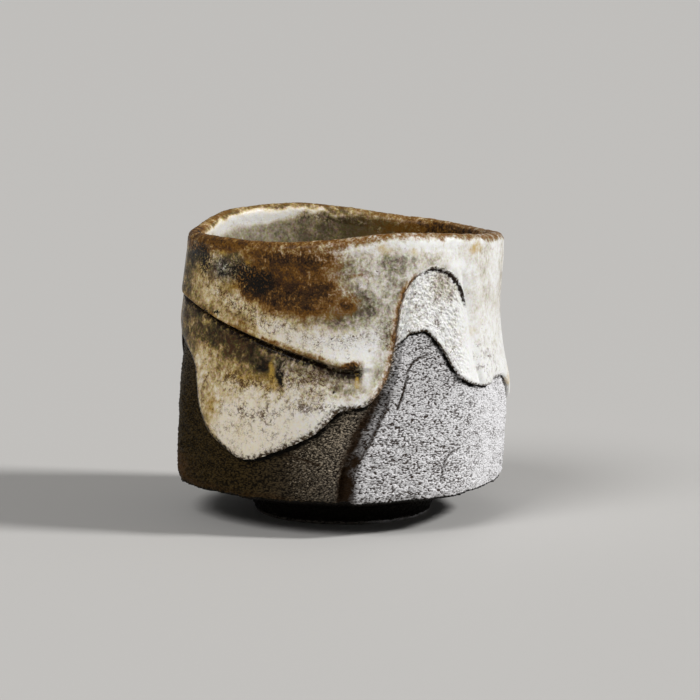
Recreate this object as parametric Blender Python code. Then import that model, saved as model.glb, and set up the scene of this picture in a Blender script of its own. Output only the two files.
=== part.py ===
"""Hand-formed stoneware sake cup: a clay body, the foot ring luted under it, and the coats fired onto it.

Metres, +Z up. The origin is on the table under the middle of the cup, and the cup's front faces -Y.
Angles are in degrees round the cup from its front, growing to the right of someone who faces it.
The sizes below are in millimetres, and MM turns them into metres.
"""

import bmesh
import bpy
import numpy as np

MM = 0.001
FULL_TURN = 360
HALF_TURN = 180

# Driving dimensions
WALL_EDGE_HEIGHT = 6.3  # lower edge of the wall, above the table
JOINT_HEIGHT = 3.4  # flat underside that the foot ring is luted to
UNDERSIDE_DISH = 0.4  # the underside is hollowed this much inside the foot
MEAN_RADIUS = 30.0
FOOT_RADIUS = 16.5  # at the table
FOOT_FLARE = 0.9  # the foot is this much wider where it joins the body
FOOT_BORE = 12.6
FOOT_ROUND = 0.6  # rounding of the foot's two lower edges
FOOT_WAVER = 0.2  # the foot is a little oval
SEAT_MARGIN = 0.7  # the flat joint runs this far past the foot on both sides
FLOOR_HEIGHT = 9.0  # clay floor inside the cup
FLOOR_FILLET = 7.0  # round between the floor and the inside wall
WALL_THICKNESS = 3.7
LIP_HALF_THICKNESS = 0.85  # the clay's lip is a half round of this radius
LIP_TAPER = 16.0  # the wall thickens to its full size over this depth below the lip
SEAT_GAP = 0.3  # clearance kept between pieces that lie on each other
GLAZE_EDGE_THICKNESS = 0.25
GLAZE_LIP_FADE = 6.0  # the thick coat thins towards the lip over this height
THIN_GLAZE_THICKNESS = 0.4
LINER_THICKNESS = 0.6
LINER_POOL = 1.3  # the liner gathers on the floor
LIP_COAT = 0.45

# Mesh density
COLUMNS = 84
GLAZE_COLUMNS = 96
FOOT_COLUMNS = 48
LINER_COLUMNS = 42
FRONT_CROWDING = 20.0  # degrees by which the clay's columns are drawn towards the front
ROWS_BELOW_FOLD = 11
ROWS_ABOVE_FOLD = 8
PATCH_ROWS = 9
LIP_TILTS = (0, 45, 90, 135, 180)  # degrees over the lip, from its outside to its inside
BOWL_TILTS = (0, 30, 60, 90)  # degrees round the floor's fillet, from the wall to the floor
SHARP_ANGLE = 50  # edges that turn more than this are shaded sharp


def smooth_curve(points, period=None):
    """A curve through the points that never overshoots between them."""
    xs, ys = np.array(points, float).T
    if period:
        xs = np.concatenate([xs - period, xs, xs + period])
        ys = np.tile(ys, 3)
    steps = np.diff(xs)
    slopes = np.diff(ys) / steps
    tangents = np.zeros(len(xs))
    for i in range(1, len(xs) - 1):
        before, after = slopes[i - 1], slopes[i]
        if before * after > 0:
            tangents[i] = 2 * before * after / (before + after)

    def curve(x):
        x = np.clip(np.asarray(x, float), xs[0], xs[-1])
        i = np.clip(np.searchsorted(xs, x) - 1, 0, len(steps) - 1)
        t = (x - xs[i]) / steps[i]
        start, end = ys[i], ys[i + 1]
        pull_start, pull_end = tangents[i] * steps[i], tangents[i + 1] * steps[i]
        bow = pull_start * (1 - t) - pull_end * t
        ease = t * t * (3 - 2 * t)
        return start + (end - start) * ease + t * (1 - t) * bow

    return curve


def fade(x, start, end):
    """0 before start, 1 after end, and smooth between them."""
    t = np.clip((x - start) / (end - start), 0, 1)
    return t * t * (3 - 2 * t)


# Form of the clay, as curves through a few measured points
RIM_HEIGHT = smooth_curve(
    [(-157, 55.5), (-130, 55.0), (-98, 53.2), (-60, 53.3), (-30, 53.3), (0, 54.3), (20, 55.2),
     (45, 54.4), (72, 53.2), (112, 52.2), (150, 52.9), (180, 54.5)],
    FULL_TURN,
)
WALL_RADIUS_BY_HEIGHT = smooth_curve(
    [(WALL_EDGE_HEIGHT, 30.3), (7.8, 30.9), (12, 31.0), (20, 30.7), (26, 30.2), (31, 29.6),
     (36, 29.1), (42, 28.8), (48, 28.5), (56, 28.2)]
)

# How the two sides stand out from the round, by height: the right side has a waist and flares to the lip
RIGHT_SIDE_ANGLE, RIGHT_SIDE_SPREAD = 80, 48
RIGHT_SIDE = smooth_curve(
    [(7, -0.7), (15, -0.2), (22, 0.35), (28, -0.1), (34, -0.2), (40, -0.15), (44, 0.2), (49, 0.8), (55, 1.0)]
)
LEFT_SIDE_ANGLE, LEFT_SIDE_SPREAD = -94, 38
LEFT_SIDE = smooth_curve([(7, 0.75), (15, 0.65), (25, 0.55), (34, 0.4), (42, 0.2), (52, 0.25)])

# The crease is a groove cut up the front, leaning to the right: its angle and depth by height
CREASE_FOOT_ANGLE = -1
CREASE_ANGLE = smooth_curve(
    [(6, CREASE_FOOT_ANGLE), (13, 0), (19, 4), (24, 9.5), (29, 16), (34, 19), (40, 21), (46, 24), (56, 27)]
)
CREASE_DEPTH = smooth_curve([(6, 1.4), (14, 1.3), (22, 1.0), (29, 0.7), (36, 0.35), (46, 0.2), (50, 0)])
CREASE_SECTION = smooth_curve(
    [(-6, 0), (-1.2, -0.15), (0.6, -1), (1.4, -0.9), (3.0, 0.45), (6, 0.35), (14, 0)]
)
LEAN_SPREAD = 35  # degrees to each side of the crease over which the wall leans with it

# Flats paddled round the wall between soft upright edges: angle of each edge, depth of the flat after it
FLATS = [
    (-132, 0.5), (-76, 1.3), (CREASE_FOOT_ANGLE, 0.8), (44, 0.6), (88, 0.7), (140, 0.8), (190, 0.7), (228, 0)
]

# The fold is a swelling shoulder that overhangs a hollow on the left
FOLD_HEIGHT = smooth_curve(
    [(-110, 44), (-90, 43), (-69, 41), (-48, 38), (-29, 35.4), (-12, 33), (2, 31.1), (10, 31), (60, 33),
     (120, 38), (180, 41)],
    FULL_TURN,
)
FOLD_STRENGTH = smooth_curve(
    [(-120, 0), (-92, 0.15), (-70, 0.7), (-50, 1), (-5, 1), (6, 0.5), (11, 0), (180, 0)], FULL_TURN
)
FOLD_SWELL, FOLD_SWELL_REACH = 0.9, 5.0
FOLD_HOLLOW, FOLD_HOLLOW_REACH = 0.7, 6.0
FOLD_HALF_STEP = 0.5  # half the height that the overhang's step takes

# Slow unevenness left by the hands: waves round the turn, and the height over which each wave drifts
WAVER = 0.14
WAVER_WAVES = ((3, 6.0), (5, -9.0))

# Where the coats end, by angle
GLAZE_EDGE = smooth_curve(
    [(-150, 27), (-122, 19), (-100, 28), (-86, 35), (-74, 32.8), (-65, 29), (-60, 22), (-53, 17.5),
     (-45, 15.3), (-36, 13.6), (-22, 16), (-9, 19.4), (0, 23.4), (8, 24.3), (16, 29), (18.5, 34), (21.2, 42),
     (24, 45.2), (29, 47.5), (35, 48.4), (42, 47.4), (47.5, 44.8), (50.5, 40), (52, 29), (56, 26.2),
     (62, 25.8), (68, 26.6), (80, 26.2), (98, 20), (116, 19), (140, 29), (165, 33)],
    FULL_TURN,
)
EDGE_ANGLES = np.linspace(-HALF_TURN, HALF_TURN, 721)  # where the edge line is sampled to measure along it
THIN_EDGE = smooth_curve([(20, 35.5), (26, 37.1), (31, 37.1), (35, 36), (40, 31.8), (44, 29.6), (52, 27.2)])
THIN_FIRST_ANGLE, THIN_LAST_ANGLE = 20.0, 51.7
LIP_BAND_OUTSIDE = smooth_curve(
    [(-120, 2.3), (-70, 2.8), (-10, 2.8), (25, 2.1), (90, 2.0), (170, 2.1)], FULL_TURN
)
LIP_BAND_INSIDE = smooth_curve(
    [(-150, 2.0), (-40, 2.0), (60, 2.2), (105, 3.4), (140, 4.4), (172, 2.4)], FULL_TURN
)

# The thick coat above its thin edge, by distance from the edge: a rolled bead that thins a little higher up
GLAZE_BEAD = smooth_curve([(0, 0), (0.4, 0.35), (1.0, 0.52), (2.2, 0.6), (7, 0.42), (60, 0.36)])
# The bead lies flat where the thick coat runs down beside the thin one
BEAD_STRENGTH = smooth_curve([(46, 1), (49.5, 0.2), (53, 0.2), (56, 1)], FULL_TURN)


def around(angle):
    """The angle brought into the turn that starts at the first flat."""
    first = FLATS[0][0]
    return (np.asarray(angle, float) - first) % FULL_TURN + first


def turn(angle):
    """The angle brought within half a turn of the front."""
    return (np.asarray(angle, float) + HALF_TURN) % FULL_TURN - HALF_TURN


def lean(angle_from_crease, height):
    """How far the wall has leant to the right with the crease at this height, in degrees."""
    share = np.exp(-((angle_from_crease / LEAN_SPREAD) ** 2))
    return (CREASE_ANGLE(height) - CREASE_FOOT_ANGLE) * share


def flats(angle):
    """Radius taken off by the flats: none at their edges, most at their middles."""
    angle = around(angle)
    off = np.zeros_like(angle)
    for (start, depth), (end, _) in zip(FLATS, FLATS[1:]):
        share = np.clip((angle - start) / (end - start), 0, 1)
        off += depth * np.sin(np.pi * share)
    return off


def sides(angle, height):
    """Radius added on the right and left sides."""
    right = np.exp(-((turn(angle - RIGHT_SIDE_ANGLE) / RIGHT_SIDE_SPREAD) ** 2))
    left = np.exp(-((turn(angle - LEFT_SIDE_ANGLE) / LEFT_SIDE_SPREAD) ** 2))
    return right * RIGHT_SIDE(height) + left * LEFT_SIDE(height)


def body_radius(angle, height):
    """The clay's outer form without its fold and crease."""
    from_crease = turn(angle - CREASE_ANGLE(height))
    upright_angle = angle - lean(from_crease, height)
    waver = sum(np.sin(waves * np.radians(angle) + height / drift) for waves, drift in WAVER_WAVES)
    return WALL_RADIUS_BY_HEIGHT(height) + sides(angle, height) - flats(upright_angle) + WAVER * waver


def fold_relief(angle, height):
    """The shoulder above the fold line and the hollow under it."""
    above = height - FOLD_HEIGHT(turn(angle))
    swell = FOLD_SWELL * np.exp(-np.maximum(above, 0) / FOLD_SWELL_REACH)
    hollow = -FOLD_HOLLOW * np.exp(np.minimum(above, 0) / FOLD_HOLLOW_REACH)
    step = fade(above, -FOLD_HALF_STEP, FOLD_HALF_STEP)
    return FOLD_STRENGTH(turn(angle)) * (hollow + (swell - hollow) * step)


def crease_relief(angle, height):
    """The groove up the front and the raised facet on its right."""
    across = np.radians(turn(angle - CREASE_ANGLE(height))) * WALL_RADIUS_BY_HEIGHT(height)
    return CREASE_DEPTH(height) * CREASE_SECTION(across)


def wall_radius(angle, height):
    """The clay's outer surface."""
    return body_radius(angle, height) + fold_relief(angle, height) + crease_relief(angle, height)


def lip_centre(angle):
    """Radius and height of the middle of the clay lip's half round."""
    height = RIM_HEIGHT(turn(angle)) - LIP_COAT - SEAT_GAP - LIP_HALF_THICKNESS
    return wall_radius(angle, height) - LIP_HALF_THICKNESS, height


def bore_radius(angle, height):
    """The clay's inside surface above the floor's fillet."""
    lip_radius, lip_height = lip_centre(angle)
    at_lip = lip_radius - LIP_HALF_THICKNESS
    under_wall = body_radius(angle, height) - WALL_THICKNESS
    return at_lip + (under_wall - at_lip) * fade(lip_height - height, 0, LIP_TAPER)


def columns(count=COLUMNS):
    """Angles of mesh columns that stand closer together at the front."""
    even = np.linspace(-HALF_TURN, HALF_TURN, count, endpoint=False)
    return even - FRONT_CROWDING * np.sin(np.radians(even))


def glaze_columns():
    """Angles spaced evenly along the thick coat's edge line, so that its steep runs get columns too."""
    rise = np.diff(GLAZE_EDGE(EDGE_ANGLES))
    run = np.radians(np.diff(EDGE_ANGLES)) * MEAN_RADIUS
    length = np.concatenate([[0], np.cumsum(np.hypot(run, rise))])
    return np.interp(np.linspace(0, length[-1], GLAZE_COLUMNS, endpoint=False), length, EDGE_ANGLES)


def edge_distance(angle, height):
    """Distance on the wall from the thick coat's edge line."""
    across = np.radians(turn(angle[:, None] - EDGE_ANGLES)) * MEAN_RADIUS
    up = height[:, None] - GLAZE_EDGE(EDGE_ANGLES)
    return np.hypot(across, up).min(axis=1)


def ring(angle, radius, height):
    """One loop of points round the cup."""
    angle, radius, height = np.broadcast_arrays(np.radians(angle), radius, height)
    return np.stack([radius * np.sin(angle), -radius * np.cos(angle), height], axis=1)


def lip_ring(angle, grow, tilt):
    """A loop over the lip: grow is its distance from the clay, tilt runs from 0 outside to 180 inside."""
    radius, height = lip_centre(angle)
    reach = LIP_HALF_THICKNESS + grow
    tilt = np.radians(tilt)
    return ring(angle, radius + reach * np.cos(tilt), height + reach * np.sin(tilt))


def bowl_ring(angle, inset, tilt):
    """A loop on the fillet under the inside wall: tilt runs from 0 at the wall to 90 at the floor."""
    start = FLOOR_HEIGHT + FLOOR_FILLET
    reach = FLOOR_FILLET - inset
    tilt = np.radians(tilt)
    centre = bore_radius(angle, start) - FLOOR_FILLET
    return ring(angle, centre + reach * np.cos(tilt), start - reach * np.sin(tilt))


def between(low, high, shares):
    """Heights at these shares of the way from low to high."""
    return [low + (high - low) * share for share in shares]


def loft(name, rings, finish, first_cap=None, last_cap=None, closed=False):
    """A named solid skinned over loops of equal count. A cap is the height at which an end is closed."""
    mesh = bmesh.new()
    loops = [[mesh.verts.new(point * MM) for point in points] for points in rings]
    spans = list(zip(loops, loops[1:]))
    if closed:
        spans.append((loops[-1], loops[0]))
    for low, high in spans:
        for i in range(len(low)):
            j = (i + 1) % len(low)
            mesh.faces.new((low[i], low[j], high[j], high[i]))
    for loop, height, way in ((loops[0], first_cap, -1), (loops[-1], last_cap, 1)):
        if height is None:
            continue
        middle = mesh.verts.new((0, 0, height * MM))
        for i in range(len(loop)):
            corners = (loop[i], loop[(i + 1) % len(loop)], middle)
            mesh.faces.new(corners[::way])
    return finish_solid(name, mesh, finish)


def finish_solid(name, mesh, finish):
    """Turns the working mesh into a smooth-shaded object of that name and finish."""
    bmesh.ops.recalc_face_normals(mesh, faces=mesh.faces)
    data = bpy.data.meshes.new(name)
    mesh.to_mesh(data)
    mesh.free()
    data.shade_smooth()
    data.set_sharp_from_angle(angle=np.radians(SHARP_ANGLE))
    data.materials.append(finish)
    solid = bpy.data.objects.new(name, data)
    bpy.context.scene.collection.objects.link(solid)
    return solid


def surface_finish(name, colour, roughness):
    """A Principled material of one linear colour."""
    finish = bpy.data.materials.new(name)
    finish.use_nodes = True
    shader = finish.node_tree.nodes["Principled BSDF"]
    shader.inputs["Base Color"].default_value = (*colour, 1)
    shader.inputs["Roughness"].default_value = roughness
    shader.inputs["Metallic"].default_value = 0
    return finish


def clay_body(finish):
    """Underside, wall, lip and floor as one skin, from the underside's middle to the floor's middle.

    The wall's columns lean with the crease, so the groove runs along them, and its rows follow the fold.
    """
    upright = columns()
    joint_outside = FOOT_RADIUS + FOOT_FLARE + SEAT_MARGIN
    joint_inside = FOOT_BORE - SEAT_MARGIN
    wall_edge = wall_radius(upright, WALL_EDGE_HEIGHT)
    dish_height = JOINT_HEIGHT + UNDERSIDE_DISH
    rings = [
        ring(upright, joint_inside - 4 * UNDERSIDE_DISH, dish_height),
        ring(upright, joint_inside, JOINT_HEIGHT),
        ring(upright, joint_outside, JOINT_HEIGHT),
        ring(upright, (joint_outside + wall_edge) / 2, (JOINT_HEIGHT + WALL_EDGE_HEIGHT) / 2),
    ]

    def leaning(height_at):
        angle = upright
        for _ in range(3):
            angle = upright + lean(turn(upright - CREASE_FOOT_ANGLE), height_at(angle))
        return angle

    def wall_ring(height_at):
        angle = leaning(height_at)
        return ring(angle, wall_radius(angle, height_at(angle)), height_at(angle))

    def below_fold(angle, share):
        fold = FOLD_HEIGHT(turn(angle)) - FOLD_HALF_STEP
        return WALL_EDGE_HEIGHT + (fold - WALL_EDGE_HEIGHT) * share

    def above_fold(angle, share):
        fold = FOLD_HEIGHT(turn(angle)) + FOLD_HALF_STEP
        return fold + (lip_centre(angle)[1] - fold) * share

    for share in np.linspace(0, 1, ROWS_BELOW_FOLD):
        rings.append(wall_ring(lambda angle, share=share: below_fold(angle, share)))
    for share in np.linspace(0, 1, ROWS_ABOVE_FOLD):
        rings.append(wall_ring(lambda angle, share=share: above_fold(angle, share)))

    at_lip = leaning(lambda angle: lip_centre(angle)[1])
    rings += [lip_ring(at_lip, 0, tilt) for tilt in LIP_TILTS[1:]]
    for height in between(lip_centre(at_lip)[1], FLOOR_HEIGHT + FLOOR_FILLET, (0.3, 0.7)):
        rings.append(ring(at_lip, bore_radius(at_lip, height), height))
    rings += [bowl_ring(at_lip, 0, tilt) for tilt in BOWL_TILTS]
    return loft("clay_body", rings, finish, dish_height, FLOOR_HEIGHT)


def foot_ring(finish):
    """The low ring that the cup stands on, flat underneath and flaring up to the joint."""
    angle = columns(FOOT_COLUMNS)
    waver = FOOT_WAVER * np.sin(2 * np.radians(angle))
    top = JOINT_HEIGHT - SEAT_GAP
    section = [
        (FOOT_BORE + FOOT_ROUND, 0),
        (FOOT_RADIUS - FOOT_ROUND, 0),
        (FOOT_RADIUS, FOOT_ROUND),
        (FOOT_RADIUS + FOOT_FLARE / 2, top / 2),
        (FOOT_RADIUS + FOOT_FLARE, top),
        (FOOT_BORE, top),
        (FOOT_BORE, FOOT_ROUND),
    ]
    rings = [ring(angle, radius + waver, height) for radius, height in section]
    return loft("foot_ring", rings, finish, closed=True)


def outer_glaze(finish):
    """The thick white coat: it hangs from under the lip in lobes, each ending in a rolled edge."""
    angle = glaze_columns()
    edge = GLAZE_EDGE(turn(angle))
    top = RIM_HEIGHT(turn(angle)) - LIP_BAND_OUTSIDE(turn(angle)) - SEAT_GAP
    bead_rows = [edge, edge + 0.4, edge + 1.0]
    fold = np.maximum(FOLD_HEIGHT(turn(angle)), bead_rows[-1] + 2 * FOLD_HALF_STEP)
    apron_rows = between(bead_rows[-1], fold - FOLD_HALF_STEP, (0.25, 0.5, 0.75, 1))
    shoulder_rows = between(fold + FOLD_HALF_STEP, top, (0, 0.15, 0.35, 0.6, 0.85, 1))

    def coat(height, proud):
        rolled = GLAZE_EDGE_THICKNESS + BEAD_STRENGTH(turn(angle)) * GLAZE_BEAD(edge_distance(angle, height))
        thickness = LIP_COAT + (rolled - LIP_COAT) * fade(top - height, 0, GLAZE_LIP_FADE)
        return ring(angle, wall_radius(angle, height) + SEAT_GAP + proud * thickness, height)

    front = [coat(height, 1) for height in bead_rows + apron_rows + shoulder_rows]
    back = [coat(height, 0) for height in [edge] + apron_rows[1::2] + shoulder_rows[::2] + [top]]
    return loft("outer_glaze", front + back[::-1], finish, closed=True)


def thin_glaze(finish):
    """The first thin pour, left uncovered between two lobes: a patch that meets the thick coat's edge."""
    angle = np.array([column for column in glaze_columns() if THIN_FIRST_ANGLE < column < THIN_LAST_ANGLE])
    aside = np.degrees(SEAT_GAP / MEAN_RADIUS)
    low = THIN_EDGE(angle)
    high = np.min([GLAZE_EDGE(angle + step) for step in (-aside, 0, aside)], axis=0) - SEAT_GAP
    mesh = bmesh.new()
    layers = []
    for grow in (SEAT_GAP, SEAT_GAP + THIN_GLAZE_THICKNESS):
        layer = []
        for height in between(low, high, np.linspace(0, 1, PATCH_ROWS)):
            points = ring(angle, wall_radius(angle, height) + grow, height)
            layer.append([mesh.verts.new(point * MM) for point in points])
        layers.append(layer)
    for layer in layers:
        for low_row, high_row in zip(layer, layer[1:]):
            for i in range(len(angle) - 1):
                mesh.faces.new((low_row[i], low_row[i + 1], high_row[i + 1], high_row[i]))

    def border(layer):
        right = [row[-1] for row in layer[1:]]
        left = [row[0] for row in layer[-2:0:-1]]
        return layer[0] + right + layer[-1][-2::-1] + left

    under, over = border(layers[0]), border(layers[1])
    for i in range(len(under)):
        j = (i + 1) % len(under)
        mesh.faces.new((under[i], under[j], over[j], over[i]))
    return finish_solid("thin_glaze", mesh, finish)


def iron_lip(finish):
    """The brown iron coat that caps the lip and runs a little way down both sides."""
    angle = columns()
    rim = RIM_HEIGHT(turn(angle))
    outside = rim - LIP_BAND_OUTSIDE(turn(angle))
    inside = rim - LIP_BAND_INSIDE(turn(angle))

    def layer(grow):
        skirt_outside = ring(angle, wall_radius(angle, outside) + grow, outside)
        skirt_inside = ring(angle, bore_radius(angle, inside) - grow, inside)
        return [skirt_outside, *[lip_ring(angle, grow, tilt) for tilt in LIP_TILTS], skirt_inside]

    return loft("iron_lip", layer(SEAT_GAP + LIP_COAT) + layer(SEAT_GAP)[::-1], finish, closed=True)


def inner_glaze(finish):
    """The liner: it coats the inside from the iron lip down and pools on the floor."""
    angle = columns(LINER_COLUMNS)
    top = RIM_HEIGHT(turn(angle)) - LIP_BAND_INSIDE(turn(angle)) - SEAT_GAP
    fillet_start = FLOOR_HEIGHT + FLOOR_FILLET

    def wall_side(shares, thickness_at):
        loops = []
        for share, height in zip(shares, between(top, fillet_start, shares)):
            inset = SEAT_GAP + thickness_at(share)
            loops.append(ring(angle, bore_radius(angle, height) - inset, height))
        return loops

    back = [bowl_ring(angle, SEAT_GAP, tilt) for tilt in reversed(BOWL_TILTS)]
    back += wall_side((0.66, 0.33, 0), lambda share: 0)
    front = wall_side((0, 0.15, 0.4, 0.7), lambda share: LIP_COAT + (LINER_THICKNESS - LIP_COAT) * share)
    pools = np.linspace(LINER_THICKNESS, LINER_POOL, len(BOWL_TILTS))
    front += [bowl_ring(angle, SEAT_GAP + pool, tilt) for pool, tilt in zip(pools, BOWL_TILTS)]
    floor = FLOOR_HEIGHT + SEAT_GAP
    return loft("inner_glaze", back + front, finish, floor, floor + LINER_POOL)


def stand_on_origin(pieces):
    """Hangs the pieces on one empty, so placed that the middle of the cup's outline is over the origin."""
    points = np.array([vertex.co[:2] for piece in pieces for vertex in piece.data.vertices])
    middle_x, middle_y = (points.min(axis=0) + points.max(axis=0)) / 2
    cup = bpy.data.objects.new("cup", None)
    cup.location = (-middle_x, -middle_y, 0)
    bpy.context.scene.collection.objects.link(cup)
    for piece in pieces:
        piece.parent = cup


def main():
    for old in list(bpy.data.objects):
        bpy.data.objects.remove(old)
    clay = surface_finish("bare_stoneware", (0.20, 0.165, 0.14), 0.9)
    white = surface_finish("white_feldspar_glaze", (0.62, 0.58, 0.50), 0.35)
    thin = surface_finish("thin_white_glaze", (0.55, 0.53, 0.50), 0.6)
    iron = surface_finish("iron_lip_coat", (0.16, 0.075, 0.025), 0.45)
    liner = surface_finish("grey_green_liner", (0.42, 0.42, 0.33), 0.25)
    pieces = [
        clay_body(clay),
        foot_ring(clay),
        outer_glaze(white),
        thin_glaze(thin),
        iron_lip(iron),
        inner_glaze(liner),
    ]
    stand_on_origin(pieces)


main()
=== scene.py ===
"""Looks of a hand-formed stoneware sake cup: fine clay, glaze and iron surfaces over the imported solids.

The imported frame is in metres, +Z up, and the cup's front faces -Y. The form below is written in millimetres,
and in degrees round the cup from its front, growing to the right of someone who faces it.
"""

import math

import bpy
import numpy as np
from bpy.props import FloatProperty, FloatVectorProperty, PointerProperty
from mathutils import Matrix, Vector, kdtree, noise


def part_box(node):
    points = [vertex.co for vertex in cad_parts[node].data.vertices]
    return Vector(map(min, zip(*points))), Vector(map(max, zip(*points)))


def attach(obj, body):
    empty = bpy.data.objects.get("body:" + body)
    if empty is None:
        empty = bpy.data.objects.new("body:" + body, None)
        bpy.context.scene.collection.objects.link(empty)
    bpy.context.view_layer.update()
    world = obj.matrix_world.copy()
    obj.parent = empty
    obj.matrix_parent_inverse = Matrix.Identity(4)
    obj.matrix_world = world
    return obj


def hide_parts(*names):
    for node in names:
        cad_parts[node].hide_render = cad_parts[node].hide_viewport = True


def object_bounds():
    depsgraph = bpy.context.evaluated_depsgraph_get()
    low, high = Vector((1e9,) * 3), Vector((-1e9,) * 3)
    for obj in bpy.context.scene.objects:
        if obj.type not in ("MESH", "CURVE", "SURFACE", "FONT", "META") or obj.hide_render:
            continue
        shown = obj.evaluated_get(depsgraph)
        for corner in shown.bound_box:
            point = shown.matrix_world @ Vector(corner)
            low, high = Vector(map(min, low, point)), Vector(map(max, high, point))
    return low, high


bl_info = {
    "name": "Hand-formed sake cup",
    "version": (1, 0, 0),
    "blender": (4, 5, 0),
    "location": "View3D > Sidebar > Sake cup",
    "description": "Models the cup's clay body, foot, glazes and iron lip, and sets a plain stage",
    "category": "Add Mesh",
}

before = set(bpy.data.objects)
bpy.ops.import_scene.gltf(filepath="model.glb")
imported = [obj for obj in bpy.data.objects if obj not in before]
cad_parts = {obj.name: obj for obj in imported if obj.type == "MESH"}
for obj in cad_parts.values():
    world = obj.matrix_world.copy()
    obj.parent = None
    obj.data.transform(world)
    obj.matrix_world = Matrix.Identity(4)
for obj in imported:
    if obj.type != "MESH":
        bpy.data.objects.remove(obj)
CAD_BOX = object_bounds()
FOOT_LOW, FOOT_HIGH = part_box("foot_ring")
AXIS = (FOOT_LOW + FOOT_HIGH) / 2  # the cup's own axis passes through the middle of its foot

MM = 0.001
FULL_TURN = 360
HALF_TURN = 180


def smooth_curve(points, period=None):
    """A curve through the points that never overshoots between them."""
    xs, ys = np.array(points, float).T
    if period:
        xs = np.concatenate([xs - period, xs, xs + period])
        ys = np.tile(ys, 3)
    steps = np.diff(xs)
    slopes = np.diff(ys) / steps
    tangents = np.zeros(len(xs))
    for i in range(1, len(xs) - 1):
        before, after = slopes[i - 1], slopes[i]
        if before * after > 0:
            tangents[i] = 2 * before * after / (before + after)

    def curve(x):
        x = np.clip(np.asarray(x, float), xs[0], xs[-1])
        i = np.clip(np.searchsorted(xs, x) - 1, 0, len(steps) - 1)
        t = (x - xs[i]) / steps[i]
        start, end = ys[i], ys[i + 1]
        pull_start, pull_end = tangents[i] * steps[i], tangents[i + 1] * steps[i]
        bow = pull_start * (1 - t) - pull_end * t
        ease = t * t * (3 - 2 * t)
        return start + (end - start) * ease + t * (1 - t) * bow

    return curve


def fade(x, start, end):
    """0 before start, 1 after end, and smooth between them."""
    t = np.clip((x - start) / (end - start), 0, 1)
    return t * t * (3 - 2 * t)


def bell(x, reach):
    """1 at 0, falling away on both sides over about this reach."""
    return np.exp(-((x / reach) ** 2))


def between(start, end, share):
    """The value that lies this share of the way from start to end."""
    return start + (end - start) * share


def turn(angle):
    """The angle brought within half a turn of the front."""
    return (np.asarray(angle, float) + HALF_TURN) % FULL_TURN - HALF_TURN


def linear(hex_colour):
    """The linear colour of an sRGB hex value."""
    channels = [int(hex_colour[i : i + 2], 16) / 255 for i in (1, 3, 5)]
    return tuple(c / 12.92 if c <= 0.04045 else ((c + 0.055) / 1.055) ** 2.4 for c in channels)


# Form of the clay, the same as the solids have
WALL_EDGE_HEIGHT = 6.3
JOINT_HEIGHT = 3.4
UNDERSIDE_DISH = 0.4
MEAN_RADIUS = 30.0
FOOT_RADIUS = 16.5
FOOT_FLARE = 0.9
FOOT_BORE = 12.6
FOOT_ROUND = 0.6
FOOT_WAVER = 0.2
SEAT_MARGIN = 0.7
FLOOR_HEIGHT = 9.0
FLOOR_FILLET = 7.0
WALL_THICKNESS = 3.7
LIP_HALF_THICKNESS = 0.85
LIP_TAPER = 16.0
LIP_COAT = 0.75  # iron coat over the clay of the lip
LINER_THICKNESS = 0.9
LINER_POOL = 1.6

RIM_HEIGHT = smooth_curve(
    [(-157, 55.5), (-130, 55.0), (-98, 53.2), (-60, 53.3), (-30, 53.3), (0, 54.3), (20, 55.2), (45, 54.4),
     (72, 53.2), (112, 52.2), (150, 52.9), (180, 54.5)],
    FULL_TURN,
)
WALL_RADIUS_BY_HEIGHT = smooth_curve(
    [(WALL_EDGE_HEIGHT, 30.3), (7.8, 30.9), (12, 31.0), (20, 30.7), (26, 30.2), (31, 29.6), (36, 29.1),
     (42, 28.8), (48, 28.5), (56, 28.2)]
)
RIGHT_SIDE_ANGLE, RIGHT_SIDE_SPREAD = 80, 48
RIGHT_SIDE = smooth_curve(
    [(7, -0.7), (15, -0.2), (22, 0.35), (28, -0.1), (34, -0.2), (40, -0.15), (44, 0.2), (49, 0.8),
     (55, 1.0)]
)
LEFT_SIDE_ANGLE, LEFT_SIDE_SPREAD = -94, 38
LEFT_SIDE = smooth_curve([(7, 0.75), (15, 0.65), (25, 0.55), (34, 0.4), (42, 0.2), (52, 0.25)])
CREASE_FOOT_ANGLE = -1
CREASE_ANGLE = smooth_curve(
    [(6, CREASE_FOOT_ANGLE), (13, 0), (19, 4), (24, 9.5), (29, 16), (34, 19), (40, 21), (46, 24),
     (56, 27)]
)
CREASE_DEPTH = smooth_curve([(6, 1.4), (14, 1.3), (22, 1.0), (29, 0.7), (36, 0.35), (46, 0.2), (50, 0)])
CREASE_WIDTH = smooth_curve(
    [(6, 2.2), (12, 2.2), (15, 2.9), (18, 3.5), (23, 3.4), (27, 2.0), (32, 1.5), (56, 1.3)]
)
CREASE_SECTION = smooth_curve(
    [(-2.5, 0), (-0.35, -0.1), (-0.05, -0.35), (0.2, -1), (0.5, -0.85), (0.85, -0.45), (1.1, 0.35),
     (1.5, 0.45), (2.6, 0.35), (6, 0)]
)
LEAN_SPREAD = 35
FLATS = [
    (-132, 0.5), (-76, 1.3), (CREASE_FOOT_ANGLE, 0.8), (44, 0.6), (88, 0.7), (140, 0.8), (190, 0.7), (228, 0)
]
FOLD_HEIGHT = smooth_curve(
    [(-110, 44), (-90, 43), (-69, 41), (-48, 38), (-29, 35.4), (-12, 33), (2, 31.1), (10, 31), (60, 33),
     (120, 38), (180, 41)],
    FULL_TURN,
)
FOLD_STRENGTH = smooth_curve(
    [(-120, 0), (-92, 0.15), (-70, 0.7), (-50, 1), (-5, 1), (6, 0.5), (11, 0), (180, 0)],
    FULL_TURN,
)
FOLD_SWELL, FOLD_SWELL_REACH = 0.9, 5.0
FOLD_HOLLOW, FOLD_HOLLOW_REACH = 0.7, 6.0
FOLD_HALF_STEP = 0.45
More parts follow.
